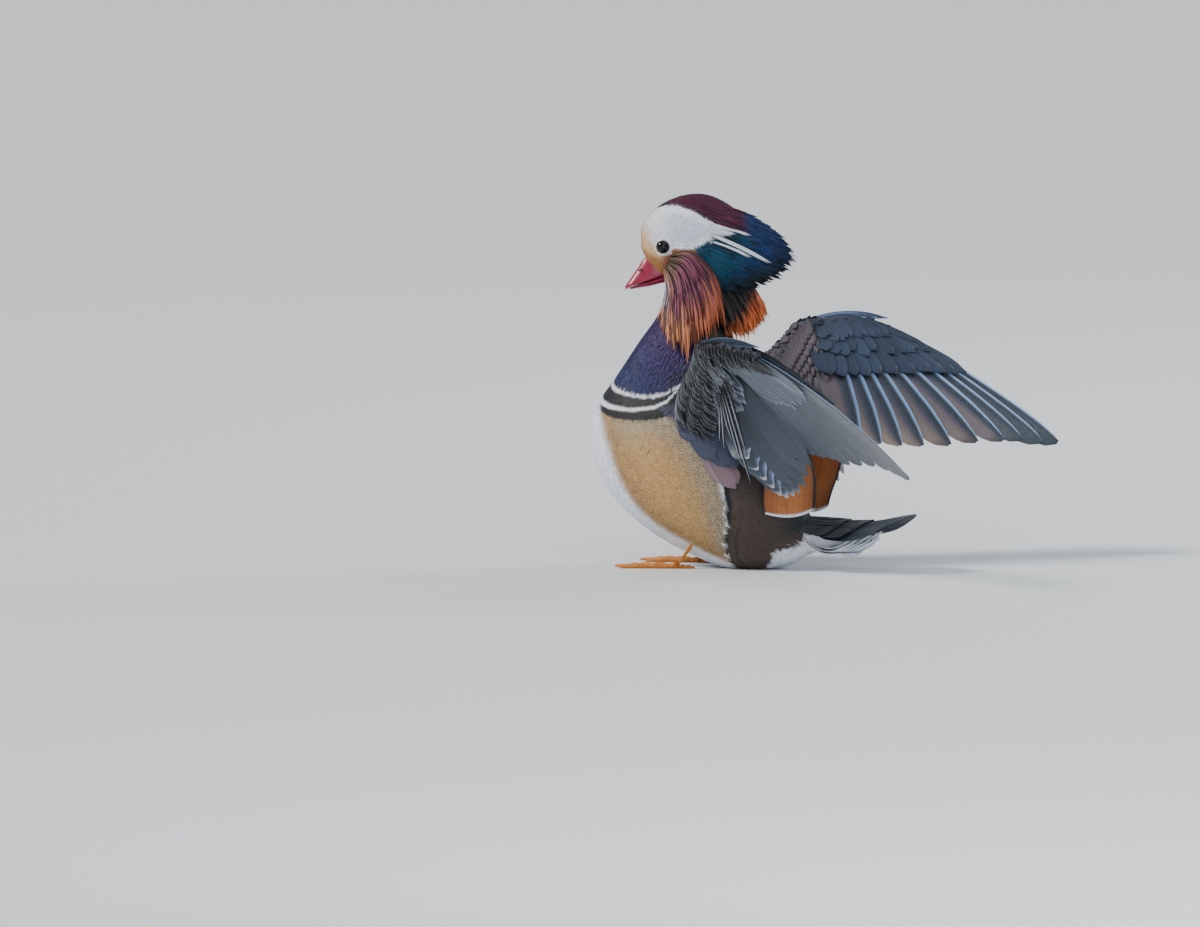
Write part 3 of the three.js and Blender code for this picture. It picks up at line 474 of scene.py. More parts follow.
def buildGuides():
    found = []

    def keep(part, point, along, a, b, side, slopeA=(0, 0, 0), slopeB=(0, 0, 0)):
        count = point.size // 3
        flat = [np.broadcast_to(v, point.shape[:-1]).reshape(count) for v in (a, b, side)]
        slopes = [np.broadcast_to(v, point.shape).reshape(-1, 3) for v in (slopeA, slopeB)]
        found.append((np.full(count, part), point.reshape(-1, 3), unit(along.reshape(-1, 3)), *flat, *slopes))

    s, t = np.meshgrid(np.linspace(-1, 1, 113), np.linspace(0.0, 1, 161))
    step = 0.006
    round_, back = bodyPoint(s + step, t) - bodyPoint(s - step, t), bodyPoint(s, t + step) - bodyPoint(s, t - step)
    slopes = [2 * step * v / np.maximum((v * v).sum(axis=-1, keepdims=True), 1e-9) for v in (round_, back)]
    keep(0, bodyPoint(s, t), back, s, t, np.sign(s), *slopes)
    round_, t = np.meshgrid(np.linspace(-1, 1, 65), np.linspace(0, 1, 60))

    def headSkin(angle, share):
        at, top, bottom, half = headRing(share)
        return headPoint(at, (top + bottom) / 2 + (top - bottom) / 2 * np.cos(angle * np.pi),
                         half * np.sin(angle * np.pi)), at, (top + bottom) / 2 + (top - bottom) / 2 * np.cos(angle * np.pi)

    here, at, up = headSkin(round_, t)
    flow = unit(headSkin(round_, t + 0.02)[0] - headSkin(round_, t - 0.02)[0])
    flow = flow + np.array([0, 0, -0.35]) * (up < 0)[..., None]
    keep(1, here, flow, at, up, np.sign(round_), headForward / mm, headUp / mm)
    for side in (1, -1):
        for part, code in (("arm", 2), ("hand", 3)):
            phi, t = np.meshgrid(np.linspace(0, 2, 41)[:-1], np.linspace(0, 1, 50))
            lead, trail, thick, span, dorsal = limbFrame(part, t)
            out = np.sin(phi * np.pi)[..., None]
            point = (lead + trail) / 2 + (lead - trail) / 2 * np.cos(phi * np.pi)[..., None]
            point = point + dorsal * out * thick[..., None] / 2
            along = unit(trail - lead) + span * (0.25 if part == "arm" else 0.9) - dorsal * out * 0.05
            if part == "arm":
                along = np.where((np.sin(phi * np.pi) < 0.1)[..., None], unit(np.array([0, 0.35, -1.0])), along)
            point, along = metres(point), along.copy()
            point[..., 0] *= side
            along[..., 0] *= side
            face = np.where(np.sin(phi * np.pi) >= 0, 1.0, -1.0)
            edge = np.where(phi <= 1, phi, 2 - phi)
            keep(code, point, along, t, edge * face, side)
    s, t = np.meshgrid(np.linspace(-1, 1, 41), np.linspace(0, 1, 20))
    at, low, high, half = (np.interp(t, np.linspace(0, 1, 6), tailRoot[k]) for k in ("at", "bottom", "top", "half"))
    point = np.stack([half * np.sin(s * np.pi), at, (low + high) / 2 - (high - low) / 2 * np.cos(s * np.pi)], axis=-1)
    keep(4, metres(point), np.broadcast_to([0, 1.0, 0], point.shape), s, t, np.sign(s))
    part, point, along, a, b, side, slopeA, slopeB = (np.concatenate(v) for v in zip(*found))
    tree = KDTree(len(point))
    for i, p in enumerate(point):
        tree.insert(p, i)
    tree.balance()
    return {"tree": tree, "part": part, "point": point, "along": along, "a": a, "b": b, "side": side,
            "slopeA": slopeA, "slopeB": slopeB}


def lookUp(guides, points):
    rows = np.array([guides["tree"].find(p)[1] for p in points])
    info = {k: guides[k][rows] for k in ("part", "along", "a", "b", "side")}
    away = points - guides["point"][rows]
    for key, slope in (("a", "slopeA"), ("b", "slopeB")):
        info[key] = info[key] + (away * guides[slope][rows]).sum(axis=-1)
    return info


# Markings

tints = {name: linear(value) for name, value in {
    "white": "E6E9EF", "bellyWhite": "DFE4EE", "buff": "D9A766", "lore": "A9733A", "cheek": "8A5230",
    "maroon": "4A162F", "maroonDark": "25102A", "navy": "0C1A3C", "blue": "10305F", "teal": "063E54",
    "tealDark": "052434", "black": "0A0D14", "violet": "250A44", "neckBlue": "0A1645", "oval": "0B1233",
    "flank": "C39A64", "flankEdge": "A99A82", "rear": "463A34", "back": "2A2B2E", "rump": "1A2528",
    "slate": "3B3F55", "mauve": "7E6770", "mantle": "3A3532", "purple": "781A58", "rust": "BE5A2C",
    "orange": "D9702F", "umber": "1F1512", "silver": "8DB5E6", "primary": "1E2D42", "web": "6C5F62",
    "webPale": "A08D7E", "primaryTip": "0F2A33", "under": "565F6D", "underDark": "303A48", "underPale": "7A8292",
    "fringe": "AEB6C4", "armDark": "23262E", "lesser": "463F47", "lesserDark": "2E2C33", "covert": "222F45",
    "greater": "45434C", "speculum": "17434C", "sail": "965020", "sailLight": "C57A3A", "sailDark": "6B3318",
    "quill": "0A1F30", "tipBlue": "9DB8E8", "grey": "8E9297", "lavender": "A99AB5", "plum": "5A2238",
    "salmon": "DB8450", "patch": "CBD4E2",
}.items()}


def withBars(colour, share):
    colour = np.array(colour)
    colour[..., 3] = share
    return colour


# Body markings: lines on its surface as (share round from the belly, share along)
bodyMarks = {
    "upperBar": [(0, 0.306), (0.07, 0.310), (0.145, 0.321), (0.34, 0.352), (0.45, 0.369), (0.525, 0.371), (0.575, 0.357), (0.66, 0.322)],
    "lowerBar": [(0, 0.345), (0.08, 0.350), (0.175, 0.365), (0.30, 0.384), (0.40, 0.398), (0.49, 0.400), (0.54, 0.389), (0.58, 0.363),
                 (0.66, 0.326)],
    "flankTop": [(0, 0.368), (0.21, 0.391), (0.31, 0.414), (0.40, 0.427), (0.49, 0.433), (0.535, 0.429), (0.60, 0.41)],
    "bellyEdge": [(0.34, 0.10), (0.37, 0.17), (0.395, 0.215), (0.43, 0.252), (0.485, 0.280), (0.537, 0.280),
                  (0.60, 0.266), (0.65, 0.255), (0.693, 0.26), (0.733, 0.27), (0.80, 0.25), (0.86, 0.22), (1, 0.34)],
    "rearEdge": [(0.40, 0.50), (0.43, 0.535), (0.445, 0.565), (0.482, 0.602), (0.527, 0.626), (0.58, 0.631),
                 (0.635, 0.620), (0.693, 0.580), (0.745, 0.505), (0.795, 0.355), (0.86, 0.10), (1, 0.05)],
    "girth": 160, "length": 390,  # millimetres to one share round and along
}


def markLine(name, x):
    return np.interp(x, *zip(*bodyMarks[name]))


def past(distance, soft=0.6):
    # one beyond a line, nought before it, with a soft step of about a millimetre
    return ramp(distance, -soft, soft)


def bodyColour(s, t):
    s = np.abs(s)
    girth, length = bodyMarks["girth"], bodyMarks["length"]
    ragged = draw.normal(0, 0.3, s.shape)
    colour = blend(tints["violet"], tints["neckBlue"], ramp(t - 0.22 * s, 0.10, 0.27))
    colour = blend(colour, tints["violet"] * 0.75, ramp(s, 0.42, 0.62) * ramp(t, 0.1, 0.25) * 0.8)
    inOval = ((s - 0.61) / 0.075) ** 2 + ((t - 0.335) / 0.030) ** 2
    colour = blend(colour, tints["oval"], 1 - ramp(inOval, 0.8, 1.1))
    colour = blend(colour, tints["mantle"], ramp(s, 0.70, 0.80) * ramp(t, 0.08, 0.22))
    upper = (t - markLine("upperBar", s)) * length + ragged * 0.4
    lower = (t - markLine("lowerBar", s)) * length + ragged * 0.4
    top = (t - markLine("flankTop", s)) * length + ragged
    barShare = past(0.65 - s, 0.01)
    colour = blend(colour, tints["black"], past(upper) * barShare)
    upperHalf = np.interp(s, [0, 0.05, 0.2, 0.66], [0.7, 1.5, 1.6, 0.9])
    lowerHalf = np.interp(s, [0, 0.2, 0.69], [2.6, 2.2, 1.1])
    colour = blend(colour, tints["white"], past(upperHalf - np.abs(upper)) * barShare)
    colour = blend(colour, tints["white"], past(lowerHalf - np.abs(lower)) * barShare)
    rear = (s - markLine("rearEdge", t)) * girth + ragged * 0.4
    belly = (s - markLine("bellyEdge", t)) * girth + ragged * 1.6
    flank = blend(tints["flankEdge"], tints["flank"], ramp(t, 0.42, 0.52) * ramp(-rear, 3, 22))
    # painted shade: the flank's own buff darkens toward the breast side
    flank = blend(flank, tints["flank"] * 0.72, ramp(s, 0.42, 0.26) * 0.8)
    barred = 0.55 + 0.45 * ramp(-rear, 30, 2) + 0.3 * ramp(belly, 24, 2)
    flank = withBars(flank, np.clip(barred, 0, 1))
    onFlank = past(top) * past(-rear)
    colour = blend(colour, flank, onFlank)
    white = withBars(np.broadcast_to(tints["bellyWhite"], colour.shape), 0.0)
    edge = ramp(belly, 4, -5)
    onBelly = past(lower) * (t < 0.9) * past(-rear)
    colour = blend(colour, white, edge * onBelly)
    colour = blend(colour, white, (t >= 0.9) & (s < 0.42))
    back = blend(tints["rear"], tints["back"], np.maximum(ramp(s, 0.66, 0.86), ramp(t, 0.62, 0.5) * ramp(s, 0.5, 0.6)))
    back = blend(back, tints["rump"], ramp(t, 0.80, 0.95) * ramp(s, 0.5, 0.7))
    behind = past(rear) * (t > 0.40) * ~((t >= 0.9) & (s < 0.42))
    colour = blend(colour, withBars(back, 0.4), behind)
    lined = (t > 0.52) & (t < 0.84)
    colour = blend(colour, tints["white"], lined * past(rear, 0.4) * past(1.5 - rear, 0.4))
    colour = blend(colour, tints["black"], lined * past(rear - 1.5, 0.4) * past(5.0 - rear))
    return blend(colour, tints["slate"] * 0.8, behind * (t <= 0.52))


# Head markings: lines in the head's profile as (forward, up)
headMarks = {
    "crownEdge": [(-60, 3), (-36, 13.8), (-21.4, 20.1), (-9.8, 26.9), (1.8, 31), (11.5, 31), (20.2, 28.4), (28.9, 19.6),
                  (33, 14)],
    "patchFoot": [(-34, 7), (-25.4, 4.6), (-17.6, 0.7), (-9.8, -3.4), (6.6, -3.0), (8, -8), (34, -8)],
    "tealFront": [(-44, -38), (-40, -34), (-25, -25), (-3.2, -10.8), (8, -6)],  # (up, forward)
}


def headColour(f, u):
    jag = draw.normal(0, 0.25, f.shape)
    crown = u - np.interp(f, *zip(*headMarks["crownEdge"])) + jag
    foot = u - np.interp(f, *zip(*headMarks["patchFoot"])) + jag
    teal = np.interp(u, *zip(*headMarks["tealFront"])) - f + jag
    inner = ramp(np.minimum(-crown, foot), 2.5, 9) * ramp(f, 16, 4)
    colour = blend(tints["white"], tints["patch"], inner)
    warm = ramp(f + 0.22 * -u, 16, 31) * ramp(u, 24, 6)
    colour = blend(colour, tints["buff"], np.clip(warm + ramp(u, 3, -6) * ramp(f, 4, 14), 0, 1) * 0.85)
    low = ramp(u - 0.5 * (f - 20), -5, -14)
    colour = blend(colour, tints["lore"], low * 0.9)
    colour = blend(colour, blend(tints["cheek"], tints["purple"] * 0.7, ramp(u, -14, -30)),
                   (foot < 0) * ramp(f, 18, 11))
    throat = ramp(u, -24, -32) * ramp(f, -6, 6)
    colour = blend(colour, blend(tints["grey"], tints["violet"], ramp(u, -34, -42)), throat * 0.9)
    shade = blend(tints["teal"], tints["tealDark"], ramp(u, -18, -36))
    colour = blend(colour, shade, past(-foot, 0.4) * past(teal, 0.5))
    top = blend(tints["maroon"], tints["maroonDark"], ramp(crown, 5, 0) * 0.8)
    top = blend(top, tints["blue"], ramp(f, -46, -56))
    colour = blend(colour, top, past(crown, 0.4))
    around = np.hypot(f - 14.2, u + 1.6)
    return blend(colour, tints["white"], (around < 7.1) * 1.0)


def wingColour(a, b, part):
    upper = b >= 0
    edge = np.abs(b)
    top = blend(tints["lesser"], tints["covert"], part == 3)
    top = blend(top, tints["lesserDark"], ramp(edge, 0.35, 0.0) * 0.6)
    low = blend(tints["armDark"], tints["underDark"], ramp(edge, 0.5, 1.0) * 0.6)
    return blend(low, top, upper)


def coatColour(info):
    part, a, b = info["part"], info["a"], info["b"]
    colour = np.zeros(part.shape + (4,))
    for code, paint in ((0, bodyColour), (1, headColour)):
        rows = part == code
        colour[rows] = paint(a[rows], b[rows])
    rows = (part == 2) | (part == 3)
    colour[rows] = wingColour(a[rows], b[rows], part[rows])
    rows = part == 4
    colour[rows] = blend(tints["bellyWhite"], tints["rump"], (np.abs(a[rows]) > 0.60) * 1.0)
    return colour


def coatUv(info):
    # an unwrap of the skin: body and head laid open along the back and the crown, wings as strips
    part, a, b, side = (info[k] for k in ("part", "a", "b", "side"))
    u = np.select([part == 0, part == 1, part == 4], [0.25 + 0.23 * a, 0.75 + side * (0.02 + (b + 45) / 90 * 0.2), 0.25 + 0.2 * a],
                  0.25 + side * (0.02 + 0.2 * a))
    v = np.select([part == 0, part == 1, part == 2, part == 3],
                  [0.02 + 0.6 * b, 0.05 + (33 - a) / 90 * 0.3, 0.73 + 0.06 * b, 0.88 + 0.06 * b], 0.63 + 0.03 * b)
    return np.stack([u, v], axis=-1)


# One skin under the whole coat

skinLook = {"depth": 2.0, "voxel": 1.9, "smooth": 5}


def buildSkin(guides, materials):
    depth = skinLook["depth"]
    bm = bmesh.new()
    rings = []
    for t in np.linspace(0, 1, 44):
        front, back, half = bodyRing(t)
        reach = (front - back) / 2
        reach = reach * (1 - depth / np.linalg.norm(reach))
        centre = metres((front + back) / 2)
        rings.append((centre, reach * mm, ((half - depth) * mm, 0, 0)))
    loft(bm, rings, 40)
    rings = []
    for t in np.linspace(0, 1, 28):
        at, top, bottom, half = headRing(t)
        trim = depth * 0.75
        rings.append((headPoint(at - trim * (t == 0), (top + bottom) / 2, 0), headUp * ((top - bottom) / 2 - trim) * mm,
                      headSide * (half - trim) * mm))
    loft(bm, rings, 36)
    for side in (1, -1):
        for part in ("arm", "hand"):
            rings = []
            for t in np.linspace(0, 1, 14):
                lead, trail, thick, span, dorsal = limbFrame(part, t)
                reach = (lead - trail) / 2
                reach = reach * (1 - 1.2 / np.linalg.norm(reach)) * mm
                over = dorsal * max(thick / 2 - 1.2, 0.8) * mm
                flip = np.array([side, 1, 1])
                rings.append((metres((lead + trail) / 2) * flip, reach * flip, over * flip))
            loft(bm, rings, 20)
    rings = [(metres((0, at, (low + high) / 2)), (0, 0, ((high - low) / 2 - 1) * mm), ((half - 1) * mm, 0, 0))
             for at, low, high, half in zip(*(tailRoot[k] for k in ("at", "bottom", "top", "half")))]
    loft(bm, rings, 24)
    rough = bpy.data.objects.new("roughSkin", meshOf(bm, "roughSkin"))
    bpy.context.scene.collection.objects.link(rough)
    remesh = rough.modifiers.new("remesh", "REMESH")
    remesh.mode = "VOXEL"
    remesh.voxel_size = skinLook["voxel"] * mm
    soften = rough.modifiers.new("soften", "SMOOTH")
    soften.iterations = skinLook["smooth"]
    evaluated = rough.evaluated_get(bpy.context.evaluated_depsgraph_get())
    mesh = bpy.data.meshes.new_from_object(evaluated)
    bpy.data.objects.remove(rough)
    mesh.name = "skin"
    bm = bmesh.new()
    bm.from_mesh(mesh)
    bmesh.ops.bisect_plane(bm, geom=bm.verts[:] + bm.edges[:] + bm.faces[:], plane_co=(0, 0, 0.0004),
                           plane_no=(0, 0, -1), clear_outer=True)
    bmesh.ops.holes_fill(bm, edges=[e for e in bm.edges if e.is_boundary])
    bmesh.ops.triangulate(bm, faces=bm.faces[:])
    bmesh.ops.recalc_face_normals(bm, faces=bm.faces[:])
    bm.to_mesh(mesh)
    bm.free()
    mesh.shade_smooth()
    points = np.zeros(len(mesh.vertices) * 3, np.float32)
    mesh.vertices.foreach_get("co", points)
    info = lookUp(guides, points.reshape(-1, 3))
    colour = coatColour(info)
    colour[:, 3] = 1
    layer = mesh.color_attributes.new("plumage", "FLOAT_COLOR", "POINT")
    layer.data.foreach_set("color", colour.astype(np.float32).ravel())
    skin = addPiece("skin", mesh, materials["downySkin"], "body_plumage")
    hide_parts("torso", "neck", "head", "leg_left", "leg_right")
    return skin


# Feathers: a flat leaf in shares across and along, stamped wherever one grows

def leaf(across, along, outline, roundTip=0.0, camber=0.0, inner=None):
    bm = bmesh.new()
    bmesh.ops.create_grid(bm, x_segments=across, y_segments=along, size=1)
    for vert in bm.verts:
        vert.co.y = (vert.co.y + 1) / 2
    bmesh.ops.solidify(bm, geom=bm.faces[:], thickness=0.1)
    bmesh.ops.recalc_face_normals(bm, faces=bm.faces[:])
    bm.verts.index_update()
    bm.edges.index_update()
    co = np.array([v.co for v in bm.verts])
    u, t, w = co.T
    w = np.where(w > w.mean(), 0.5, -0.5)
    sharp = np.array([e.calc_face_angle(0) > 0.7 for e in bm.edges])
    corners = [(loop.vert.index, loop.edge.index) for face in bm.faces for loop in face.loops]
    wide = np.where(u > 0, np.interp(t, *zip(*outline)), np.interp(t, *zip(*(inner or outline))))
    result = {
        "u": u, "row": t, "w": w, "t": t - roundTip * u * u * ramp(t, 0.2, 1), "wide": wide,
        "camber": camber, "sharp": sharp, "edges": np.array([[v.index for v in e.verts] for e in bm.edges]),
        "loops": np.array(corners), "sizes": np.array([len(face.loops) for face in bm.faces]),
    }
    bm.free()
    return result


leaves = {
    "contour": leaf(2, 4, [(0, 0.45), (0.4, 0.95), (0.75, 0.95), (1, 0.4)], 0.12, 0.12),
    "small": leaf(4, 8, [(0, 0.4), (0.3, 0.85), (0.6, 1), (0.8, 0.96), (0.9, 0.78), (1, 0.36)], 0.08, 0.12),
    "slip": leaf(4, 5, [(0, 0.4), (0.3, 0.85), (0.7, 1), (0.9, 0.75), (1, 0.25)], 0.06, 0.2),
    "fine": leaf(1, 3, [(0, 0.5), (0.45, 1), (0.8, 0.8), (1, 0.25)], 0.1),
    "strand": leaf(2, 5, [(0, 0.4), (0.3, 0.9), (0.7, 1), (0.9, 0.6), (1, 0.1)], 0.0, 0.15),
    "hackle": leaf(2, 9, [(0, 0.4), (0.2, 0.75), (0.6, 1), (0.85, 0.75), (1, 0.08)], 0.0, 0.25),
    "covert": leaf(6, 12, [(0, 0.4), (0.3, 0.85), (0.6, 1), (0.8, 0.96), (0.9, 0.82), (0.96, 0.62), (1, 0.36)], 0.10, 0.14),
    "vane": leaf(12, 26, [(0, 0.3), (0.2, 0.8), (0.5, 1), (0.75, 0.9), (0.9, 0.6), (0.97, 0.32), (1, 0.12)], 0.0, 0.04,
                 [(0, 0.25), (0.2, 0.7), (0.5, 0.96), (0.78, 1), (0.88, 0.9), (0.94, 0.72), (0.98, 0.46), (1, 0.16)]),
    "blunt": leaf(10, 22, [(0, 0.3), (0.2, 0.75), (0.5, 0.98), (0.8, 1), (0.9, 0.88), (0.96, 0.66), (1, 0.3)], 0.05, 0.06),
    "shaft": leaf(2, 12, [(0, 1), (0.5, 0.7), (0.9, 0.3), (1, 0.15)]),
}


def stampLeaves(name, form, place, across, up, wide, thick, colour, rootUv, material, slotName, mirrored=False):
    # place, across and up: one row a feather, one column a point of the leaf
    count, points = place.shape[:2]
    lateral = (form["u"] * form["wide"])[None, :] * wide
    rise = form["w"] * (1 - 0.75 * np.abs(form["u"])) * thick
    rise = rise[None, :] - form["camber"] * (form["u"] ** 2)[None, :] * np.abs(wide)
    co = place + across * lateral[..., None] + up * rise[..., None]
    if mirrored:
        co = co * [-1, 1, 1]
    co = np.clip(co, reachLow, reachHigh)
    mesh = bpy.data.meshes.new(name)
    edgeCount, loopCount, faceCount = len(form["edges"]), len(form["loops"]), len(form["sizes"])
    shift = (np.arange(count) * points)[:, None]
    mesh.vertices.add(count * points)
    mesh.vertices.foreach_set("co", co.astype(np.float32).ravel())
    mesh.edges.add(count * edgeCount)
    mesh.edges.foreach_set("vertices", (form["edges"].ravel()[None] + shift).astype(np.int32).ravel())
    mesh.loops.add(count * loopCount)
    mesh.loops.foreach_set("vertex_index", (form["loops"][:, 0][None] + shift).astype(np.int32).ravel())
    edgeShift = (np.arange(count) * edgeCount)[:, None]
    mesh.loops.foreach_set("edge_index", (form["loops"][:, 1][None] + edgeShift).astype(np.int32).ravel())
    mesh.polygons.add(count * faceCount)
    starts = np.concatenate([[0], np.cumsum(np.tile(form["sizes"], count))[:-1]])
    mesh.polygons.foreach_set("loop_start", starts.astype(np.int32))
    sharp = mesh.attributes.new("sharp_edge", "BOOLEAN", "EDGE")
    sharp.data.foreach_set("value", np.tile(form["sharp"], count))
    corner = form["loops"][:, 0]
    own = np.stack([form["u"][corner] / 2 + 0.5, form["row"][corner]], axis=-1)
    layer = mesh.uv_layers.new(name="OFBake")
    patch = 0.003
    baked = rootUv[:, None, :] + (own[None] - 0.5) * patch
    layer.data.foreach_set("uv", baked.astype(np.float32).ravel())
    layer = mesh.uv_layers.new(name="featherUV")
    layer.data.foreach_set("uv", np.tile(own, (count, 1)).astype(np.float32).ravel())
    paint = mesh.color_attributes.new("plumage", "FLOAT_COLOR", "POINT")
    shown = np.broadcast_to(colour if colour.ndim == 3 else colour[:, None, :], (count, points, 4))
    paint.data.foreach_set("color", shown.astype(np.float32).ravel())
    mesh.update()
    mesh.validate()
    if mirrored:
        mesh.flip_normals()
    return addPiece(name, mesh, material, slotName)


def rowCurve(stations, v):
    # a smooth curve through each row's stations, read at that row's own shares
    first, last = 2 * stations[:, :1] - stations[:, 1:2], 2 * stations[:, -1:] - stations[:, -2:-1]
    padded = np.concatenate([first, stations, last], axis=1)
    at = np.clip(v, 0, 1) * (stations.shape[1] - 1)
    i = np.minimum(at.astype(int), stations.shape[1] - 2)
    w = (at - i)[..., None]
    rows = np.arange(len(stations))[:, None]
    a, b, c, d = (padded[rows, i + k] for k in range(4))
    return 0.5 * (2 * b + (c - a) * w + (2 * a - 5 * b + 4 * c - d) * w ** 2 + (3 * b - a - 3 * c + d) * w ** 3)


def rowFrames(stations, first, last, up, t):
    # feathers lying on a stretch of each row's curve
    v = first[:, None] + (last - first)[:, None] * t[None, :]
    beyond = np.maximum(v - 1, 0)[..., None]
    end = rowCurve(stations, np.ones_like(v)) - rowCurve(stations, np.full_like(v, 0.98))
    place = rowCurve(stations, v) + end / 0.02 * beyond
    along = unit(rowCurve(stations, np.minimum(v, 0.98) + 0.02) - rowCurve(stations, np.minimum(v, 0.98)))
    out = square(np.broadcast_to(up[:, None] if up.ndim == 2 else up, along.shape), along)
    return place, np.cross(along, out), out


def curveFrames(start, middle, end, upStart, upEnd, t):
    # a bent feather from its root through a middle control to its tip
    t = np.asarray(t)[None, :, None]
    a, b, c = start[:, None], middle[:, None], end[:, None]
    place = (1 - t) ** 2 * a + 2 * t * (1 - t) * b + t * t * c
    along = unit((1 - t) * (b - a) + t * (c - b))
    up = square((1 - t) * upStart[:, None] + t * upEnd[:, None], along)
    return place, np.cross(along, up), up


# Small feathers of the body, neck, head and wing arms

coat = {
    # spacing, length, half-width, thickness and tip lift in millimetres
    "body": {"space": 3.4, "long": 13, "half": 3.9, "thick": 0.22, "lift": 0.9},
    "marks": {"space": 1.3, "long": 4.4, "half": 1.05, "thick": 0.14, "lift": 0.6},
    "neck": {"space": 2.55, "long": 8.5, "half": 1.6, "thick": 0.18, "lift": 0.7},
    "head": {"space": 1.3, "long": 3.8, "half": 0.75, "thick": 0.12, "lift": 0.4},
    "upper": {"space": 4.6, "long": 13, "half": 5.2, "thick": 0.3, "lift": 1.3},
    "lining": {"space": 3.0, "long": 11, "half": 1.9, "thick": 0.22, "lift": 0.8},
    "candidates": 260000,
}


def coatKind(info):
    part, a, b = info["part"], info["a"], info["b"]
    s, length, girth = np.abs(a), bodyMarks["length"], bodyMarks["girth"]
    upper = (b - markLine("upperBar", s)) * length
    lower = (b - markLine("lowerBar", s)) * length
    rear = (s - markLine("rearEdge", b)) * girth
    lined = ((upper > -10) & (lower < 9) & (s < 0.72)) | ((rear > -4) & (rear < 9) & (b > 0.42) & (b < 0.86))
    limb = (part == 2) | (part == 3)
    return np.select([part == 1, (part == 0) & lined, (part == 0) & (b < 0.33), limb & (b >= 0), limb],
                     ["head", "marks", "neck", "upper", "lining"], "body")


def scatter(skin, guides):
    mesh = skin.data
    mesh.calc_loop_triangles()
    points = np.zeros(len(mesh.vertices) * 3, np.float32)
    mesh.vertices.foreach_get("co", points)
    points = points.reshape(-1, 3).astype(float)
    normals = np.zeros(len(mesh.vertices) * 3, np.float32)
    mesh.vertex_normals.foreach_get("vector", normals)
    normals = normals.reshape(-1, 3).astype(float)
    tris = np.zeros(len(mesh.loop_triangles) * 3, np.int32)
    mesh.loop_triangles.foreach_get("vertices", tris)
    tris = tris.reshape(-1, 3)
    a, b, c = (points[tris[:, k]] for k in range(3))
    area = np.linalg.norm(np.cross(b - a, c - a), axis=-1)
    chosen = tris[draw.choice(len(tris), coat["candidates"], p=area / area.sum())]
    r1, r2 = np.sqrt(draw.random(len(chosen))), draw.random(len(chosen))
    weights = np.stack([1 - r1, r1 * (1 - r2), r1 * r2], axis=-1)[..., None]
    spot = (points[chosen] * weights).sum(axis=1)
    normal = unit((normals[chosen] * weights).sum(axis=1))
    info = lookUp(guides, spot)
    kind = coatKind(info)
    kept = np.zeros(len(spot), bool)
    for name in np.unique(kind):
        rows = np.flatnonzero(kind == name)
        for offset in (0.0, 0.5):
            cell = np.floor(spot[rows] / (coat[name]["space"] * 0.82 * mm) + offset).astype(np.int64)
            key = cell[:, 0] * 73856093 ^ cell[:, 1] * 19349663 ^ cell[:, 2] * 83492791
            rows = rows[np.sort(np.unique(key, return_index=True)[1])]
        kept[rows] = True
    f, u = info["a"], info["b"]
    head = kind == "head"
    nearEye = head & (np.hypot(f - eye["forward"], u - eye["up"]) < 5.0)
    along = (f - 29.5) * (17 - 29.5) + (u + 10) * (-27 + 10)
    share = np.clip(along / (12.5 ** 2 + 17 ** 2), 0, 1)
    offLine = np.hypot(f - (29.5 - 12.5 * share), u - (-10 - 17 * share))
    centre = np.array(metres(headShape["centre"]))
    sideways = np.abs((spot - centre) @ headSide) / mm
    nearBill = head & (offLine < 3.4) & (sideways < 6.6)
    underFloor = spot[:, 2] < 0.0009
    kept &= ~nearEye & ~nearBill & ~underFloor
    return spot[kept], normal[kept], {k: v[kept] for k, v in info.items()}, kind[kept]


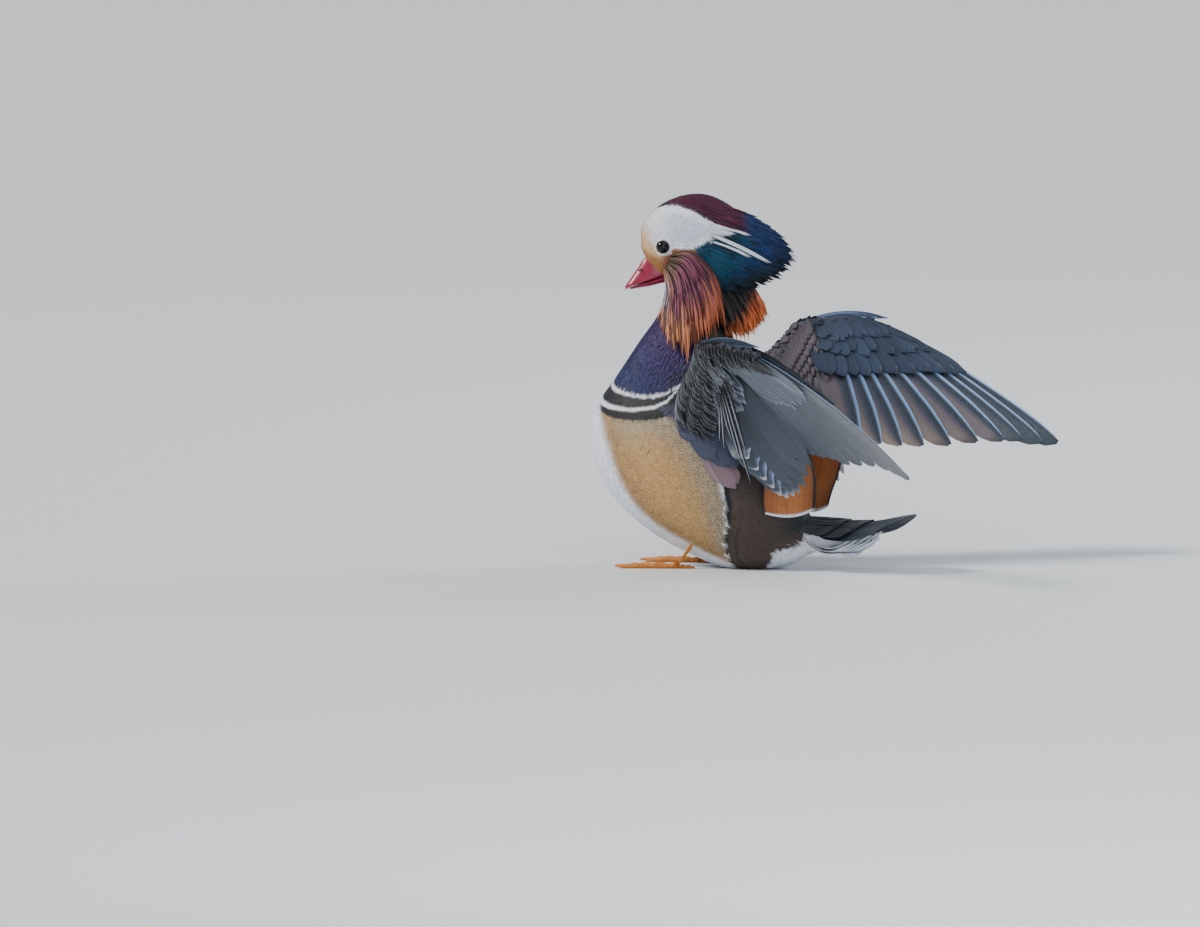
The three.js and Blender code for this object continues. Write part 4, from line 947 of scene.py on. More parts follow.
def coatPieces(skin, guides, materials):
    spot, normal, info, kind = scatter(skin, guides)
    tree = BVHTree.FromPolygons([tuple(v.co) for v in skin.data.vertices], [tuple(p.vertices) for p in skin.data.polygons])
    flow = square(info["along"] + draw.normal(0, 0.10, spot.shape), normal)
    size = {k: np.array([coat[name][k] for name in kind]) for k in ("long", "half", "thick", "lift")}
    part, a, b = info["part"], info["a"], info["b"]
    longer = np.ones(len(spot))
    head = kind == "head"
    crown = head & (b > np.interp(a, *zip(*headMarks["crownEdge"])) + 1)
    longer = np.where(crown, np.interp(a, [-30, 20, 32], [2.8, 1.8, 1.1]), longer)
    longer = np.where(head & ~crown, np.interp(a, [-10, 10, 30], [1.5, 1.1, 0.8]), longer)
    longer = np.where((kind == "body") & (part == 0), np.interp(b, [0.30, 0.42, 0.8, 1], [0.8, 1.0, 1.2, 1.4]), longer)
    longer = np.where(kind == "upper", np.interp(np.abs(b), [0, 0.25, 1], [0.5, 0.85, 1.1]), longer)
    longer = np.where(kind == "lining", np.interp(np.abs(b), [0, 0.25, 1], [0.8, 1.1, 1.4]), longer)
    longer = longer * draw.uniform(0.88, 1.12, len(spot))
    reach = (size["long"] * longer * mm)[:, None]
    half = size["half"] * mm * np.sqrt(longer) * draw.uniform(0.9, 1.1, len(spot))

    def onSkin(points):
        found = [tree.find_nearest(p) for p in points]
        return np.array([f[0] for f in found]), np.array([f[1] for f in found])

    middle, middleUp = onSkin(spot + flow * reach * 0.5)
    end, endUp = onSkin(spot + flow * reach)
    lift = (size["lift"] * mm)[:, None]
    start = spot - normal * 0.35 * mm
    middle = middle + middleUp * lift * 0.75
    loose = np.where(kind == "lining", 0.5, 0.2)[:, None]
    end = end + endUp * lift * (1 + loose * draw.uniform(-1, 1.2, (len(spot), 1)))
    control = 2 * middle - (start + end) / 2
    uv = coatUv(info)
    face = head & ~crown & (b > np.interp(a, *zip(*headMarks["patchFoot"])) - 1)
    left = spot[:, 0] >= 0
    neck = kind == "neck"
    plain = kind == "body"
    marks = kind == "marks"
    fore = (part == 0) & (b < 0.62)
    groups = {
        "neckCoat": (neck, "contour", "iridescentFeather", "neck_plumage"),
        "barCoatLeft": (marks & left, "fine", "silkyFeather", "body_plumage"),
        "barCoatRight": (marks & ~left, "fine", "silkyFeather", "body_plumage"),
        "breastCoatLeft": (plain & fore & left, "contour", "contourFeather", "body_plumage"),
        "breastCoatRight": (plain & fore & ~left, "contour", "contourFeather", "body_plumage"),
        "rearCoatLeft": (plain & ~fore & left, "contour", "contourFeather", "body_plumage"),
        "rearCoatRight": (plain & ~fore & ~left, "contour", "contourFeather", "body_plumage"),
        "faceCoat": (face, "fine", "silkyFeather", "head_plumage"),
        "crownCoat": (head & ~face, "fine", "iridescentFeather", "head_plumage"),
        "upperCoatLeft": ((kind == "upper") & left, "contour", "covertFeather", "wing_plumage"),
        "upperCoatRight": ((kind == "upper") & ~left, "contour", "covertFeather", "wing_plumage"),
        "liningLeft": ((kind == "lining") & left, "contour", "covertFeather", "wing_plumage"),
        "liningRight": ((kind == "lining") & ~left, "contour", "covertFeather", "wing_plumage"),
    }
    for name, (rows, formName, materialName, slotName) in groups.items():
        form = leaves[formName]
        frames = curveFrames(start[rows], control[rows], end[rows], normal[rows], endUp[rows], form["t"])
        count, points = frames[0].shape[:2]
        lateral = frames[1] * (form["u"] * form["wide"])[None, :, None] * half[rows][:, None, None]
        shown = coatColour(lookUp(guides, (frames[0] + lateral).reshape(-1, 3))).reshape(count, points, 4)
        spread = 0.2 if name == "neckCoat" else 0.1
        shown[..., :3] *= draw.uniform(1 - spread, 1 + spread, (count, 1, 1))
        if slotName == "wing_plumage":
            upper = name.startswith("upper")
            if upper:
                over, edgeTint = ramp(form["row"], 0.8, 1.0) + ramp(np.abs(form["u"]), 0.4, 1.0), tints["lesserDark"] * 0.5
            else:
                over, edgeTint = ramp(form["row"], 0.8, 1.0) + ramp(form["u"], 0.2, 1.0), tints["fringe"] * 0.3
            over = np.clip(over, 0, 1)[None, :, None] * draw.uniform(0.2, 0.9, (count, 1, 1))
            shown = shown * (1 - over * 0.9) + edgeTint * (over * 0.9)
        stampLeaves(name, form, *frames, half[rows][:, None], size["thick"][rows][0] * mm, shown, uv[rows],
                    materials[materialName], slotName)
        print(name, count, "feathers")


# Crest and ruff

crest = {
    "starts": [(2, 38.6, 0), (-12, 35.5, 10.5), (-22, 16, 17.5), (-20, -4, 18.5), (-15, -16, 18)],
    "ends": [(-61, 21, 0.5), (-82, 5, 2.5), (-92, -13, 3), (-78, -30, 7), (-37, -43, 14)],
    "across": 56, "layers": 17, "half": 1.05, "thick": 0.4, "rise": 5, "long": 25,
}
stripes = [
    # start, end (forward, up) and half-width of the white plumes
    ((-26, 7.5), (-73, -14.8), 1.15), ((-27, 2.6), (-57.5, -10), 0.9), ((-31, 14), (-56.5, 7.4), 0.9),
    ((-28, 10.5), (-44, 8.5), 0.8), ((-86, -7), (-94, -12.6), 0.6),
]


def crestPoint(share, along, side):
    # share runs from the crown's midline down the side, along from the skull to the crest's tip
    a, b = through(crest["starts"], share), through(crest["ends"], share)
    middle = (a + b) / 2
    middle[..., 1] += crest["rise"] * (1 - share)
    middle[..., 2] += 4 * ramp(share, 0, 0.3)
    t = along[..., None]
    point = (1 - t) ** 2 * a + 2 * t * (1 - t) * middle + t * t * b
    point[..., 2] *= side
    return point


def crestColour(f, u, jag):
    line = np.interp(f, [-95, -60, -36, -20], [-22, 3, 13.8, 21])
    above = u - line + jag
    high = blend(tints["maroon"], tints["blue"], ramp(f + jag * 1.5, -47, -56))
    high = blend(high, tints["navy"], ramp(f, -70, -88) * 0.8)
    low = blend(tints["teal"], tints["blue"], ramp(f + 0.5 * u, -44, -70))
    low = blend(low, tints["tealDark"], ramp(u + 0.4 * f, -36, -52))
    colour = blend(low, high, ramp(above, -2, 3))
    colour = blend(colour, tints["black"], ramp(-0.45 * f - u, 50, 64) * 0.8)
    fine = jag * 0.5
    patch = (u + fine < np.interp(f, *zip(*headMarks["crownEdge"]))) & (u + fine > np.interp(f, *zip(*headMarks["patchFoot"])))
    taper = -31 + 2 * jag - 0.9 * np.abs(u - 9)
    return blend(colour, tints["white"], (patch & (f > taper - 6)) * 1.0)


def buildCrest(materials):
    form = leaves["strand"]
    starts, middles, ends, ups, uvs, widths = [], [], [], [], [], []
    for side in (1, -1):
        share, layer = np.meshgrid(np.linspace(0, 1, crest["across"]), np.arange(crest["layers"]))
        share, layer = share.ravel(), layer.ravel()
        share = np.clip(share + draw.normal(0, 0.012, share.shape), 0, 1)
        reach = np.linalg.norm((through(crest["ends"], share) - through(crest["starts"], share)), axis=-1)
        part = np.clip(crest["long"] / reach, 0.3, 0.9)
        first = (layer + draw.random(layer.shape)) / crest["layers"] * (1 - part)
        last = np.minimum(first + part * draw.uniform(0.85, 1.1, layer.shape), draw.uniform(0.97, 1.04, layer.shape))
        bend = (first + last) / 2
        a, m, c = (crestPoint(share, along, side) for along in (first, bend, last))
        sink = np.where(last > 0.9, draw.uniform(-0.8, 0.4, layer.shape), 0.0)
        a[:, 2] -= side * 0.9
        m[:, 2] += side * (0.5 + sink)
        c[:, 2] += side * (0.8 + sink)
        c[:, 1] += draw.normal(0, 0.5, layer.shape)
        a, m, c = (headPoint(*p.T) for p in (a, m, c))
        starts.append(a)
        middles.append(2 * m - (a + c) / 2)
        ends.append(c)
        outward = 0.05 + 0.95 * ramp(share, 0, 0.45)[:, None]
        ups.append(unit(headUp * (1.05 - 1.15 * ramp(share, 0, 0.6)[:, None]) + headSide * side * outward))
        widths.append(crest["half"] * draw.uniform(0.8, 1.25, layer.shape))
        uvs.append(np.stack([0.75 + side * (0.02 + 0.2 * share), 0.40 + 0.14 * bend], axis=-1))
    start, middle, end, up, uv, wide = (np.concatenate(v) for v in (starts, middles, ends, ups, uvs, widths))
    frames = curveFrames(start, middle, end, up, up, form["t"])
    inHead = frames[0] / mm - metres(headShape["centre"]) / mm
    colour = crestColour(inHead @ headForward, inHead @ headUp, draw.normal(0, 0.8, (len(start), 1)))
    pale = colour[..., :1] > 0.6
    strong = draw.choice([0.45, 1.0, 1.4], (len(start), 1, 1), p=[0.28, 0.44, 0.28])
    colour[..., :3] *= np.where(pale, 1.0, strong)
    piece = stampLeaves("crest", form, *frames, wide[:, None] * mm, crest["thick"] * mm, colour, uv,
                        materials["iridescentFeather"], "head_plumage")
    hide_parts("head")
    buildStripes(materials)


def buildStripes(materials):
    form = leaves["hackle"]
    rows = []
    for (f0, u0), (f1, u1), wide in stripes:
        for side in (1, -1):
            for k in range(3):
                drift = (k - 1) * wide * 0.6
                rows.append((f0 + draw.normal(0, 1), u0 + drift, f1 + abs(k - 1) * 2.4 + draw.normal(0, 1),
                             u1 + drift * 0.3, side, wide * 0.7))
    f0, u0, f1, u1, side, wide = np.array(rows).T

    def outer(f, u):
        # half-width of the crest's own surface there
        grid, along = np.meshgrid(np.linspace(0, 1, 60), np.linspace(0, 1, 50))
        cloud = crestPoint(grid.ravel(), along.ravel(), 1)
        nearest = np.argmin((cloud[:, 0][None] - f[:, None]) ** 2 + (cloud[:, 1][None] - u[:, None]) ** 2, axis=1)
        return cloud[nearest, 2] + 1.5

    fm, um = (f0 + f1) / 2, (u0 + u1) / 2 + 1.2
    a, m, c = (headPoint(f, u, side * outer(f, u)) for f, u in ((f0, u0), (fm, um), (f1, u1)))
    up = unit(headSide * side[:, None] + headUp * 0.15)
    frames = curveFrames(a, 2 * m - (a + c) / 2, c, up, up, form["t"])
    colour = np.broadcast_to(tints["white"], (len(rows), 4))
    uv = np.stack([0.75 + side * (0.1 + 0.02 * (u0 / 20)), 0.56 - f0 / 3000], axis=-1)
    stampLeaves("crestStripes", form, *frames, wide[:, None] * mm, 0.35 * mm, colour, uv, materials["silkyFeather"],
                "head_plumage")


# Side whiskers: paths from below the eye to the tips, each through (forward, up, outward)
ruff = {
    "paths": [
        [(14, -20, 11.5), (11.2, -34, 12.8), (14, -50, 16.6), (19, -64.5, 17.6)],
        [(12.5, -18, 12.5), (8, -34, 16.2), (9, -56, 22.6), (10, -82, 34)],
        [(11, -15, 14), (1, -27, 18.5), (-3, -53, 26.5), (-5, -90, 41.5)],
        [(9.5, -10.5, 15.2), (-5, -14, 18.8), (-17, -42, 25), (-22, -79, 36.5)],
        [(6, -7, 16.8), (-10, -6, 19.8), (-28, -27, 21.5), (-38, -70, 30)],
    ],
    "across": 54, "layers": 9, "half": [0.6, 0.9], "thick": 0.5, "long": 0.5, "neckOff": 2.2,
}
# Hair-like fringe of the nape, under the crest
nape = {
    "paths": [
        [(-20, -30, 17), (-29, -46, 21), (-34, -60, 24), (-37, -76, 25)],
        [(-32, -33, 14), (-41, -47, 17), (-47, -61, 19), (-50, -76, 18)],
        [(-43, -31, 11), (-51, -44, 12), (-57, -57, 12), (-60, -71, 11)],
        [(-53, -28, 7), (-60, -39, 7), (-65, -49, 6), (-69, -59, 5)],
    ],
    "across": 22, "layers": 5, "half": [0.8, 0.7], "thick": 0.4, "long": 0.62,
}


def pathRows(spec, share, sideways):
    # stations of the path at each share across, as points of the head
    stations = np.stack([through([path[k] for path in spec["paths"]], share) for k in range(4)], axis=1)
    stations[..., 2] *= sideways[:, None]
    return stations


def hackleRows(spec):
    share, layer = np.meshgrid(np.linspace(0, 1, spec["across"]), np.linspace(0, 1, spec["layers"]))
    share = np.clip(share.ravel() + draw.normal(0, 0.012, share.size), 0, 1)
    layer = layer.ravel()
    first = (1 - spec["long"]) * layer + draw.uniform(-0.03, 0.03, layer.size)
    first = np.maximum(first, 0)
    last = np.minimum(first + spec["long"] * draw.uniform(0.8, 1.1, layer.size), draw.uniform(0.88, 1.03, layer.size))
    return share, layer, first, last


def buildRuff(materials):
    form = leaves["hackle"]
    for side, label in ((1, "Left"), (-1, "Right")):
        share, layer, first, last = hackleRows(ruff)
        stations = pathRows(ruff, share, np.ones(share.size))
        stations += draw.normal(0, 0.35, stations.shape) * np.linspace(0.3, 3.0, 4)[None, :, None] * [1, 0.4, 0.3]
        stations[..., 2] += (0.9 - 0.9 * layer)[:, None] * [0, 1, 1.5, 1]
        offset = ramp(stations[..., 1], -20, -48) * ruff["neckOff"]
        stations[..., 2] = stations[..., 2] * side + offset
        points = headPoint(*np.moveaxis(stations, -1, 0))
        up = unit(headSide * side + headForward * (0.55 - share)[:, None])
        frames = rowFrames(points, first, last, up, form["t"])
        v = (first[:, None] + (last - first)[:, None] * form["row"][None, :])[..., None]
        a = share[:, None, None]
        cheek = tints["umber"] + (tints["cheek"] - tints["umber"]) * ramp(a, 0.5, 0.0)
        front = tints["lavender"] + (tints["cheek"] - tints["lavender"]) * ramp(a, 0.05, 0.3)
        body = front + (tints["purple"] - front) * ramp(a, 0.15, 0.4)
        body = body + (tints["plum"] - body) * ramp(a, 0.8, 1.0)
        tip = tints["salmon"] + (tints["rust"] - tints["salmon"]) * ramp(a, 0.25, 0.75)
        colour = cheek + (body - cheek) * ramp(v, 0.12, 0.32)
        late = ramp(v + draw.normal(0, 0.07, (len(share), 1, 1)), 0.55, 0.86)
        colour = colour * (1 - late) + tip * late
        dark = draw.choice([0.22, 0.75, 1.1], len(share), p=[0.40, 0.32, 0.28])[:, None, None]
        colour = colour * dark
        streaked = np.where(dark[:, 0, 0] > 0.5, 0.85, 0.0)[:, None] * np.interp(v[..., 0], [0, 0.2, 0.5, 1], [1, 1, 0.6, 0.9])
        colour[..., 3] = streaked * np.interp(share, [0, 0.7, 1], [1, 0.8, 0.5])[:, None]
        wide = np.interp(first, [0, 0.5], ruff["half"])[:, None] * draw.uniform(0.85, 1.15, (len(share), 1)) * mm
        uv = np.stack([0.75 + side * (0.02 + 0.2 * share), 0.58 + 0.05 * layer], axis=-1)
        stampLeaves("ruff" + label, form, *frames, wide, ruff["thick"] * mm, colour, uv, materials["hackleFeather"],
                    "head_plumage")
    buildNape(materials)


def buildNape(materials):
    form = leaves["strand"]
    parts = []
    for level in np.linspace(-1, 1, 9):
        share, layer, first, last = hackleRows(nape)
        stations = pathRows(nape, share, np.full(share.size, level) + draw.normal(0, 0.06, share.size))
        stations += draw.normal(0, 0.4, stations.shape) * np.linspace(0.4, 4.0, 4)[None, :, None]
        parts.append((stations, share, first, last, np.full(share.size, level)))
    stations, share, first, last, level = (np.concatenate(v) for v in zip(*parts))
    points = headPoint(*np.moveaxis(stations, -1, 0))
    up = unit(headSide * np.sign(level + 0.01)[:, None] * 0.8 - headForward * 0.6)
    frames = rowFrames(points, first, last, up, form["t"])
    v = (first[:, None] + (last - first)[:, None] * form["row"][None, :])[..., None]
    from_ = np.interp(share, [0, 0.35, 1], [0.72, 0.58, 0.28])[:, None, None]
    late = ramp(v - from_ + draw.normal(0, 0.06, (len(share), 1, 1)), 0.0, 0.22)
    tip = tints["rust"] + (tints["orange"] - tints["rust"]) * ramp(v, 0.6, 1.0)
    colour = (tints["umber"] * (1 - late) + tip * late) * draw.uniform(0.6, 1.25, (len(share), 1, 1))
    wide = np.interp(first, [0, 0.4], nape["half"])[:, None] * draw.uniform(0.8, 1.2, (len(share), 1)) * mm
    uv = np.stack([0.75 + level * (0.02 + 0.2 * share), np.full(len(share), 0.64)], axis=-1)
    stampLeaves("napeFringe", form, *frames, wide, nape["thick"] * mm, colour, uv, materials["silkyFeather"],
                "head_plumage")


# Flight feathers

flight = {
    "secondaries": {
        "roots": [(62, 40, 130), (79, 47, 146), (91, 51, 157), (103, 55, 168), (115, 60, 180)],
        "tips": [(66, 72, 94), (57, 87, 73), (49, 99, 61), (47, 110, 68), (51, 119, 87)],
        "across": [(0.68, 0.24, 0.69), (-0.1, 0.92, 0.38)], "bow": 5,
    },
    "primaries": {
        "roots": [(124, 67, 184), (132, 77, 186), (141, 90, 186), (149, 104, 184)],
        "tips": [(53, 124, 96), (89, 165, 94), (143, 218, 95), (184, 249, 92)], "bow": 6,
    },
    "tailQuills": {
        "roots": [(-12, 108, 32), (-4, 112, 37), (4, 112, 37), (12, 108, 32)],
        "tips": [(-31, 170, 37), (-9, 187, 46), (9, 187, 46), (31, 170, 37)], "bow": -4,
    },
    "underTail": {
        "roots": [(-13, 104, 24), (-5, 106, 20), (5, 106, 20), (13, 104, 24)],
        "tips": [(-22, 146, 26), (-7, 158, 27), (7, 158, 27), (22, 146, 26)], "bow": -9,
    },
}


def fanFrames(name, s, t, lift):
    # the surface between a fan's roots and tips, bowed toward its upper side
    fan = flight[name]
    step = 0.02

    def flat(at, along):
        inside = np.clip(at, 0, 1)
        spot = through(fan["roots"], inside) * (1 - along[..., None]) + through(fan["tips"], inside) * along[..., None]
        near = np.where(inside == 0, step, np.where(inside == 1, 1 - step, inside))
        other = through(fan["roots"], near) * (1 - along[..., None]) + through(fan["tips"], near) * along[..., None]
        return spot + (spot - other) * (np.abs(at - inside) / step)[..., None]

    along = unit(flat(s, t + step) - flat(s, t - step))
    if "across" in fan:
        first, last = (np.array(v) for v in fan["across"])
        across = first * (1 - t[..., None]) + last * t[..., None]
    else:
        across = flat(s + step, t) - flat(s - step, t)
    across = square(across, along)
    up = unit(np.cross(across, along))
    height = lift + fan["bow"] * 4 * t * (1 - t)
    return flat(s, t) + up * height[..., None], across, up


def buildTier(name, surface, spec, paint, materials, mirrored, slotName="wing_plumage"):
    # one row of vanes across a fan, with their shafts
    form = leaves[spec.get("form", "covert")]
    count = spec["count"]
    place01 = np.linspace(0, 1, count)
    s = spec["inner"] + (spec["outer"] - spec["inner"]) * place01 + draw.uniform(-0.006, 0.006, count)
    start = spec["from"] + np.zeros(count)
    stop = spec["to"] + draw.uniform(-1, 1, count) * spec.get("ragged", 0.01)
    if "tipCurve" in spec:
        stop = stop * np.interp(place01, np.linspace(0, 1, len(spec["tipCurve"])), spec["tipCurve"])
    width = np.interp(place01, np.linspace(0, 1, len(spec["width"])), spec["width"])
    tilt = math.radians(spec["tilt"])

    def framesFor(leafForm, extra):
        share = leafForm["t"][None, :]
        t = start[:, None] + (stop - start)[:, None] * share
        lift = spec["lift"][0] + (spec["lift"][1] - spec["lift"][0]) * share + np.zeros_like(t)
        place, across, up = fanFrames(surface, np.broadcast_to(s[:, None], t.shape), t, lift)
        over = across * math.cos(tilt) + up * math.sin(tilt)
        out = up * math.cos(tilt) - across * math.sin(tilt)
        return metres(place) + out * extra, over, out

    place, over, out = framesFor(form, 0.0)
    outerShare = spec.get("outerWeb", 0.42)
    wide = np.where(form["u"] > 0, outerShare, 1 - outerShare)[None, :] * width[:, None] * mm
    if "blunt" in spec:
        # the leading feathers keep their width to a rounded tip
        late = 1 + spec["blunt"] * ramp(form["row"], 0.7, 0.95)[None, :] * ramp(place01, 0.6, 1.0)[:, None]
        wide = wide * late
    colour = paint(form["u"][None, :], form["row"][None, :], form["w"][None, :], place01[:, None])
    colour = np.broadcast_to(colour, place.shape[:2] + (4,)) * np.concatenate(
        [np.repeat(1 + spec.get("shade", 0.1) * draw.uniform(-1, 1, (count, 1, 1)), 3, axis=2),
         np.ones((count, 1, 1))], axis=2)
    uv = np.stack([0.75 + (-1 if mirrored else 1) * (0.02 + 0.2 * place01), np.full(count, spec["uvRow"])], axis=-1)
    piece = stampLeaves(name, form, place, over, out, wide, spec["thick"] * mm, colour, uv,
                        materials[spec.get("material", "covertFeather")], slotName, mirrored)
    if spec.get("shaft"):
        rod = leaves["shaft"]
        place, over, out = framesFor(rod, 0.0)
        thick = spec["thick"] + spec["shaft"]
        stampLeaves(name + "Shafts", rod, place, over, out, spec["shaft"] * mm * np.ones((count, 1)), thick * mm,
                    np.broadcast_to(tints["primary"], (count, 4)), uv, materials[spec.get("horn", "shaftHorn")],
                    slotName, mirrored)
    return piece


def edgeLine(u, t, wide=0.82, tip=0.93):
    return np.clip(ramp(np.abs(u), wide, 1.0) + ramp(t, tip, 1.0), 0, 1)


def paintPrimary(u, t, w, i):
    base = blend(tints["primary"], tints["covert"], ramp(t, 0.1, 0.5) * 0.4 + u * 0)
    inner = blend(tints["web"], tints["webPale"], ramp(t, 0.62, 0.9) * ramp(i, 0.8, 0.25) * ramp(-u, 0.25, 0.7))
    reach = ramp(-u, 0.08, 0.3) * ramp(t, 0.30, 0.55) * ramp(i, 1.0, 0.7)
    top = blend(base + np.zeros(4), inner, reach * 0.9)
    top = blend(top, tints["primaryTip"], ramp(t, 0.93, 0.99) * ramp(-u, -0.1, 0.3) * ramp(i, 0.2, 0.5) * 0.8)
    top = blend(top, tints["primaryTip"], ramp(i, 0.62, 0.85) * ramp(-u, -0.2, 0.2) * 0.8)
    silver = ramp(u, 0.58, 0.74) * ramp(t, 0.28, 0.5) * ramp(t, 1.0, 0.95)
    top = blend(top, tints["silver"], silver * (0.75 + 0.25 * i))
    top = blend(top, tints["black"], ramp(u, 0.08, 0.2) * ramp(u, 0.5, 0.36) * 0.8)
    low = blend(tints["under"], tints["underDark"], ramp(t, 0.45, 1.0) * 0.45 + ramp(u, 0.2, 0.7) * 0.3)
    low = blend(low, tints["underPale"], ramp(np.abs(u + 0.15), 0.12, 0.0) * 0.5)
    # painted highlight: a pale blue strip of light along the outer edge of the outermost primaries' undersides
    low = blend(low, tints["silver"], ramp(u, 0.7, 0.9) * ramp(i, 0.8, 1.0) * 0.8)
    return blend(low, top, (w > 0) * 1.0)


def paintSecondary(u, t, w, i):
    top = blend(tints["speculum"], tints["slate"], ramp(i, 0.5, 0.1) + u * 0)
    top = blend(top, tints["white"], ramp(t, 0.92, 0.97))
    low = blend(tints["underDark"], tints["under"], ramp(t, 0.3, 0.9) * 0.6 + u * 0)
    low = blend(low, tints["tipBlue"], ramp(t, 0.84, 0.95) * ramp(u, 0.0, 0.8) * ramp(i, 0.8, 0.3) * 0.75)
    low = blend(low, tints["white"], ramp(t, 0.97, 1.0) * ramp(i, 0.9, 0.4) * 0.8)
    return blend(low, top, (w > 0) * 1.0)


def paintWith(inside, rim, share=0.85, tip=0.93, wide=0.84):
    def paint(u, t, w, i):
        colour = tints[inside] * (0.85 + 0.3 * ramp(t, 0.2, 0.9))[..., None] + np.zeros(4)
        colour = blend(colour, tints[rim], edgeLine(u, t, wide, tip) * share)
        return colour + np.zeros(i.shape + (1,))
    return paint


armTiers = [
    ("secondaries", "secondaries", paintSecondary, {
        "form": "blunt", "material": "vaneFeather", "count": 11, "inner": 0, "outer": 1.02, "from": 0, "to": 1, "lift": (0, 0),
        "width": (19, 17), "thick": 0.5, "tilt": 8, "shaft": 0.3, "horn": "shaftHorn", "uvRow": 0.66}),
    ("greaterCoverts", "secondaries", paintWith("greater", "lesserDark"), {
        "form": "blunt", "count": 9, "inner": 0.0, "outer": 1.04, "from": -0.03, "to": 0.47, "lift": (2.4, 4.2),
        "width": (17, 16), "thick": 0.4, "tilt": 9, "uvRow": 0.69, "shaft": 0.18}),
    ("medianCoverts", "secondaries", paintWith("lesser", "black", 0.8, 0.88), {
        "form": "small", "count": 13, "inner": 0.0, "outer": 1.03, "from": -0.04, "to": 0.33, "lift": (3.6, 5.4),
        "width": (10, 9.5), "thick": 0.4, "tilt": 9, "uvRow": 0.72, "ragged": 0.02, "shade": 0.16}),
    ("lowerLesserCoverts", "secondaries", paintWith("lesser", "black", 0.8, 0.86), {
        "form": "small", "count": 14, "inner": 0.02, "outer": 1.02, "from": -0.06, "to": 0.235, "lift": (4.6, 6.6),
        "width": (9, 8.6), "thick": 0.4, "tilt": 9, "uvRow": 0.73, "ragged": 0.015, "shade": 0.16}),
    ("lesserCoverts", "secondaries", paintWith("lesser", "black", 0.8, 0.84), {
        "form": "small", "count": 14, "inner": 0.0, "outer": 1.0, "from": -0.08, "to": 0.15, "lift": (5.4, 7.6),
        "width": (8.6, 8.2), "thick": 0.4, "tilt": 9, "uvRow": 0.74, "ragged": 0.015, "shade": 0.16}),
    ("shortLesserCoverts", "secondaries", paintWith("lesser", "black", 0.8, 0.82), {
        "form": "small", "count": 15, "inner": 0.02, "outer": 0.99, "from": -0.10, "to": 0.07, "lift": (6.0, 8.4),
        "width": (8, 7.6), "thick": 0.4, "tilt": 9, "uvRow": 0.75, "ragged": 0.01, "shade": 0.16}),
    ("underGreaterCoverts", "secondaries", paintWith("underDark", "fringe", 0.7, 0.86), {
        "form": "blunt", "count": 17, "inner": 0.0, "outer": 0.98, "from": -0.03, "to": 0.33, "lift": (-2.2, -4.0),
        "width": (7, 6.5), "thick": 0.35, "tilt": 10, "uvRow": 0.76, "ragged": 0.03}),
    ("underMedianCoverts", "secondaries", paintWith("armDark", "fringe", 0.7), {
        "form": "small", "count": 24, "inner": 0.0, "outer": 0.98, "from": -0.06, "to": 0.24, "lift": (-3.6, -6.2), "width": (4.6, 4.2),
        "thick": 0.35, "tilt": 10, "uvRow": 0.78, "ragged": 0.035}),
    ("underLesserCoverts", "secondaries", paintWith("armDark", "fringe", 0.7), {
        "form": "small", "count": 26, "inner": -0.02, "outer": 1.0, "from": -0.10, "to": 0.13, "lift": (-5.0, -8.0), "width": (3.8, 3.6),
        "thick": 0.35, "tilt": 10, "uvRow": 0.79, "ragged": 0.03}),
]
handTiers = [
    ("primaries", "primaries", paintPrimary, {
        "form": "vane", "material": "vaneFeather", "count": 10, "inner": 0, "outer": 1, "from": 0, "to": 0.99, "lift": (0, 0),
        "width": (27, 28, 25, 20), "thick": 0.5, "tilt": 8, "outerWeb": 0.27, "blunt": 0.5, "shaft": 0.35, "uvRow": 0.82}),
    ("primaryCoverts", "primaries", paintWith("covert", "black", 0.6), {
        "form": "blunt", "count": 11, "inner": -0.10, "shade": 0.18, "outer": 1.0, "from": -0.02, "to": 0.48, "lift": (2.2, 3.6),
        "width": (19, 18, 15), "thick": 0.4, "tilt": 9, "uvRow": 0.85, "shaft": 0.2, "outerWeb": 0.36}),
    ("medianPrimaryCoverts", "primaries", paintWith("covert", "black", 0.4), {
        "form": "blunt", "count": 11, "inner": -0.09, "outer": 0.98, "from": -0.03, "to": 0.30, "ragged": 0.04, "shade": 0.22, "lift": (3.4, 5.2),
        "width": (15, 12), "thick": 0.4, "tilt": 9, "uvRow": 0.86}),
    ("handCoverts", "primaries", paintWith("covert", "black", 0.35), {
        "form": "small", "count": 14, "inner": -0.07, "outer": 0.98, "from": -0.05, "to": 0.17, "ragged": 0.04, "shade": 0.22, "lift": (4.4, 6.4),
        "width": (11, 9), "thick": 0.4, "tilt": 9, "uvRow": 0.87}),
    ("underPrimaryCoverts", "primaries", paintWith("under", "fringe", 0.6, 0.9), {
        "form": "blunt", "count": 13, "inner": 0.05, "outer": 0.98, "from": -0.02, "to": 0.46, "lift": (-2.0, -4.2),
        "tipCurve": (1.1, 1.15, 0.95, 0.7), "width": (10, 8.5), "thick": 0.35, "tilt": 15, "shade": 0.14, "uvRow": 0.9, "shaft": 0.16,
        "horn": "paleShaft"}),
    ("underHandCoverts", "primaries", paintWith("armDark", "black", 0.5), {
        "form": "small", "count": 22, "inner": 0.0, "outer": 1.0, "from": -0.05, "to": 0.16, "lift": (-3.4, -5.6), "width": (4.6, 4.0),
        "thick": 0.35, "tilt": 10, "uvRow": 0.93, "ragged": 0.03}),
]


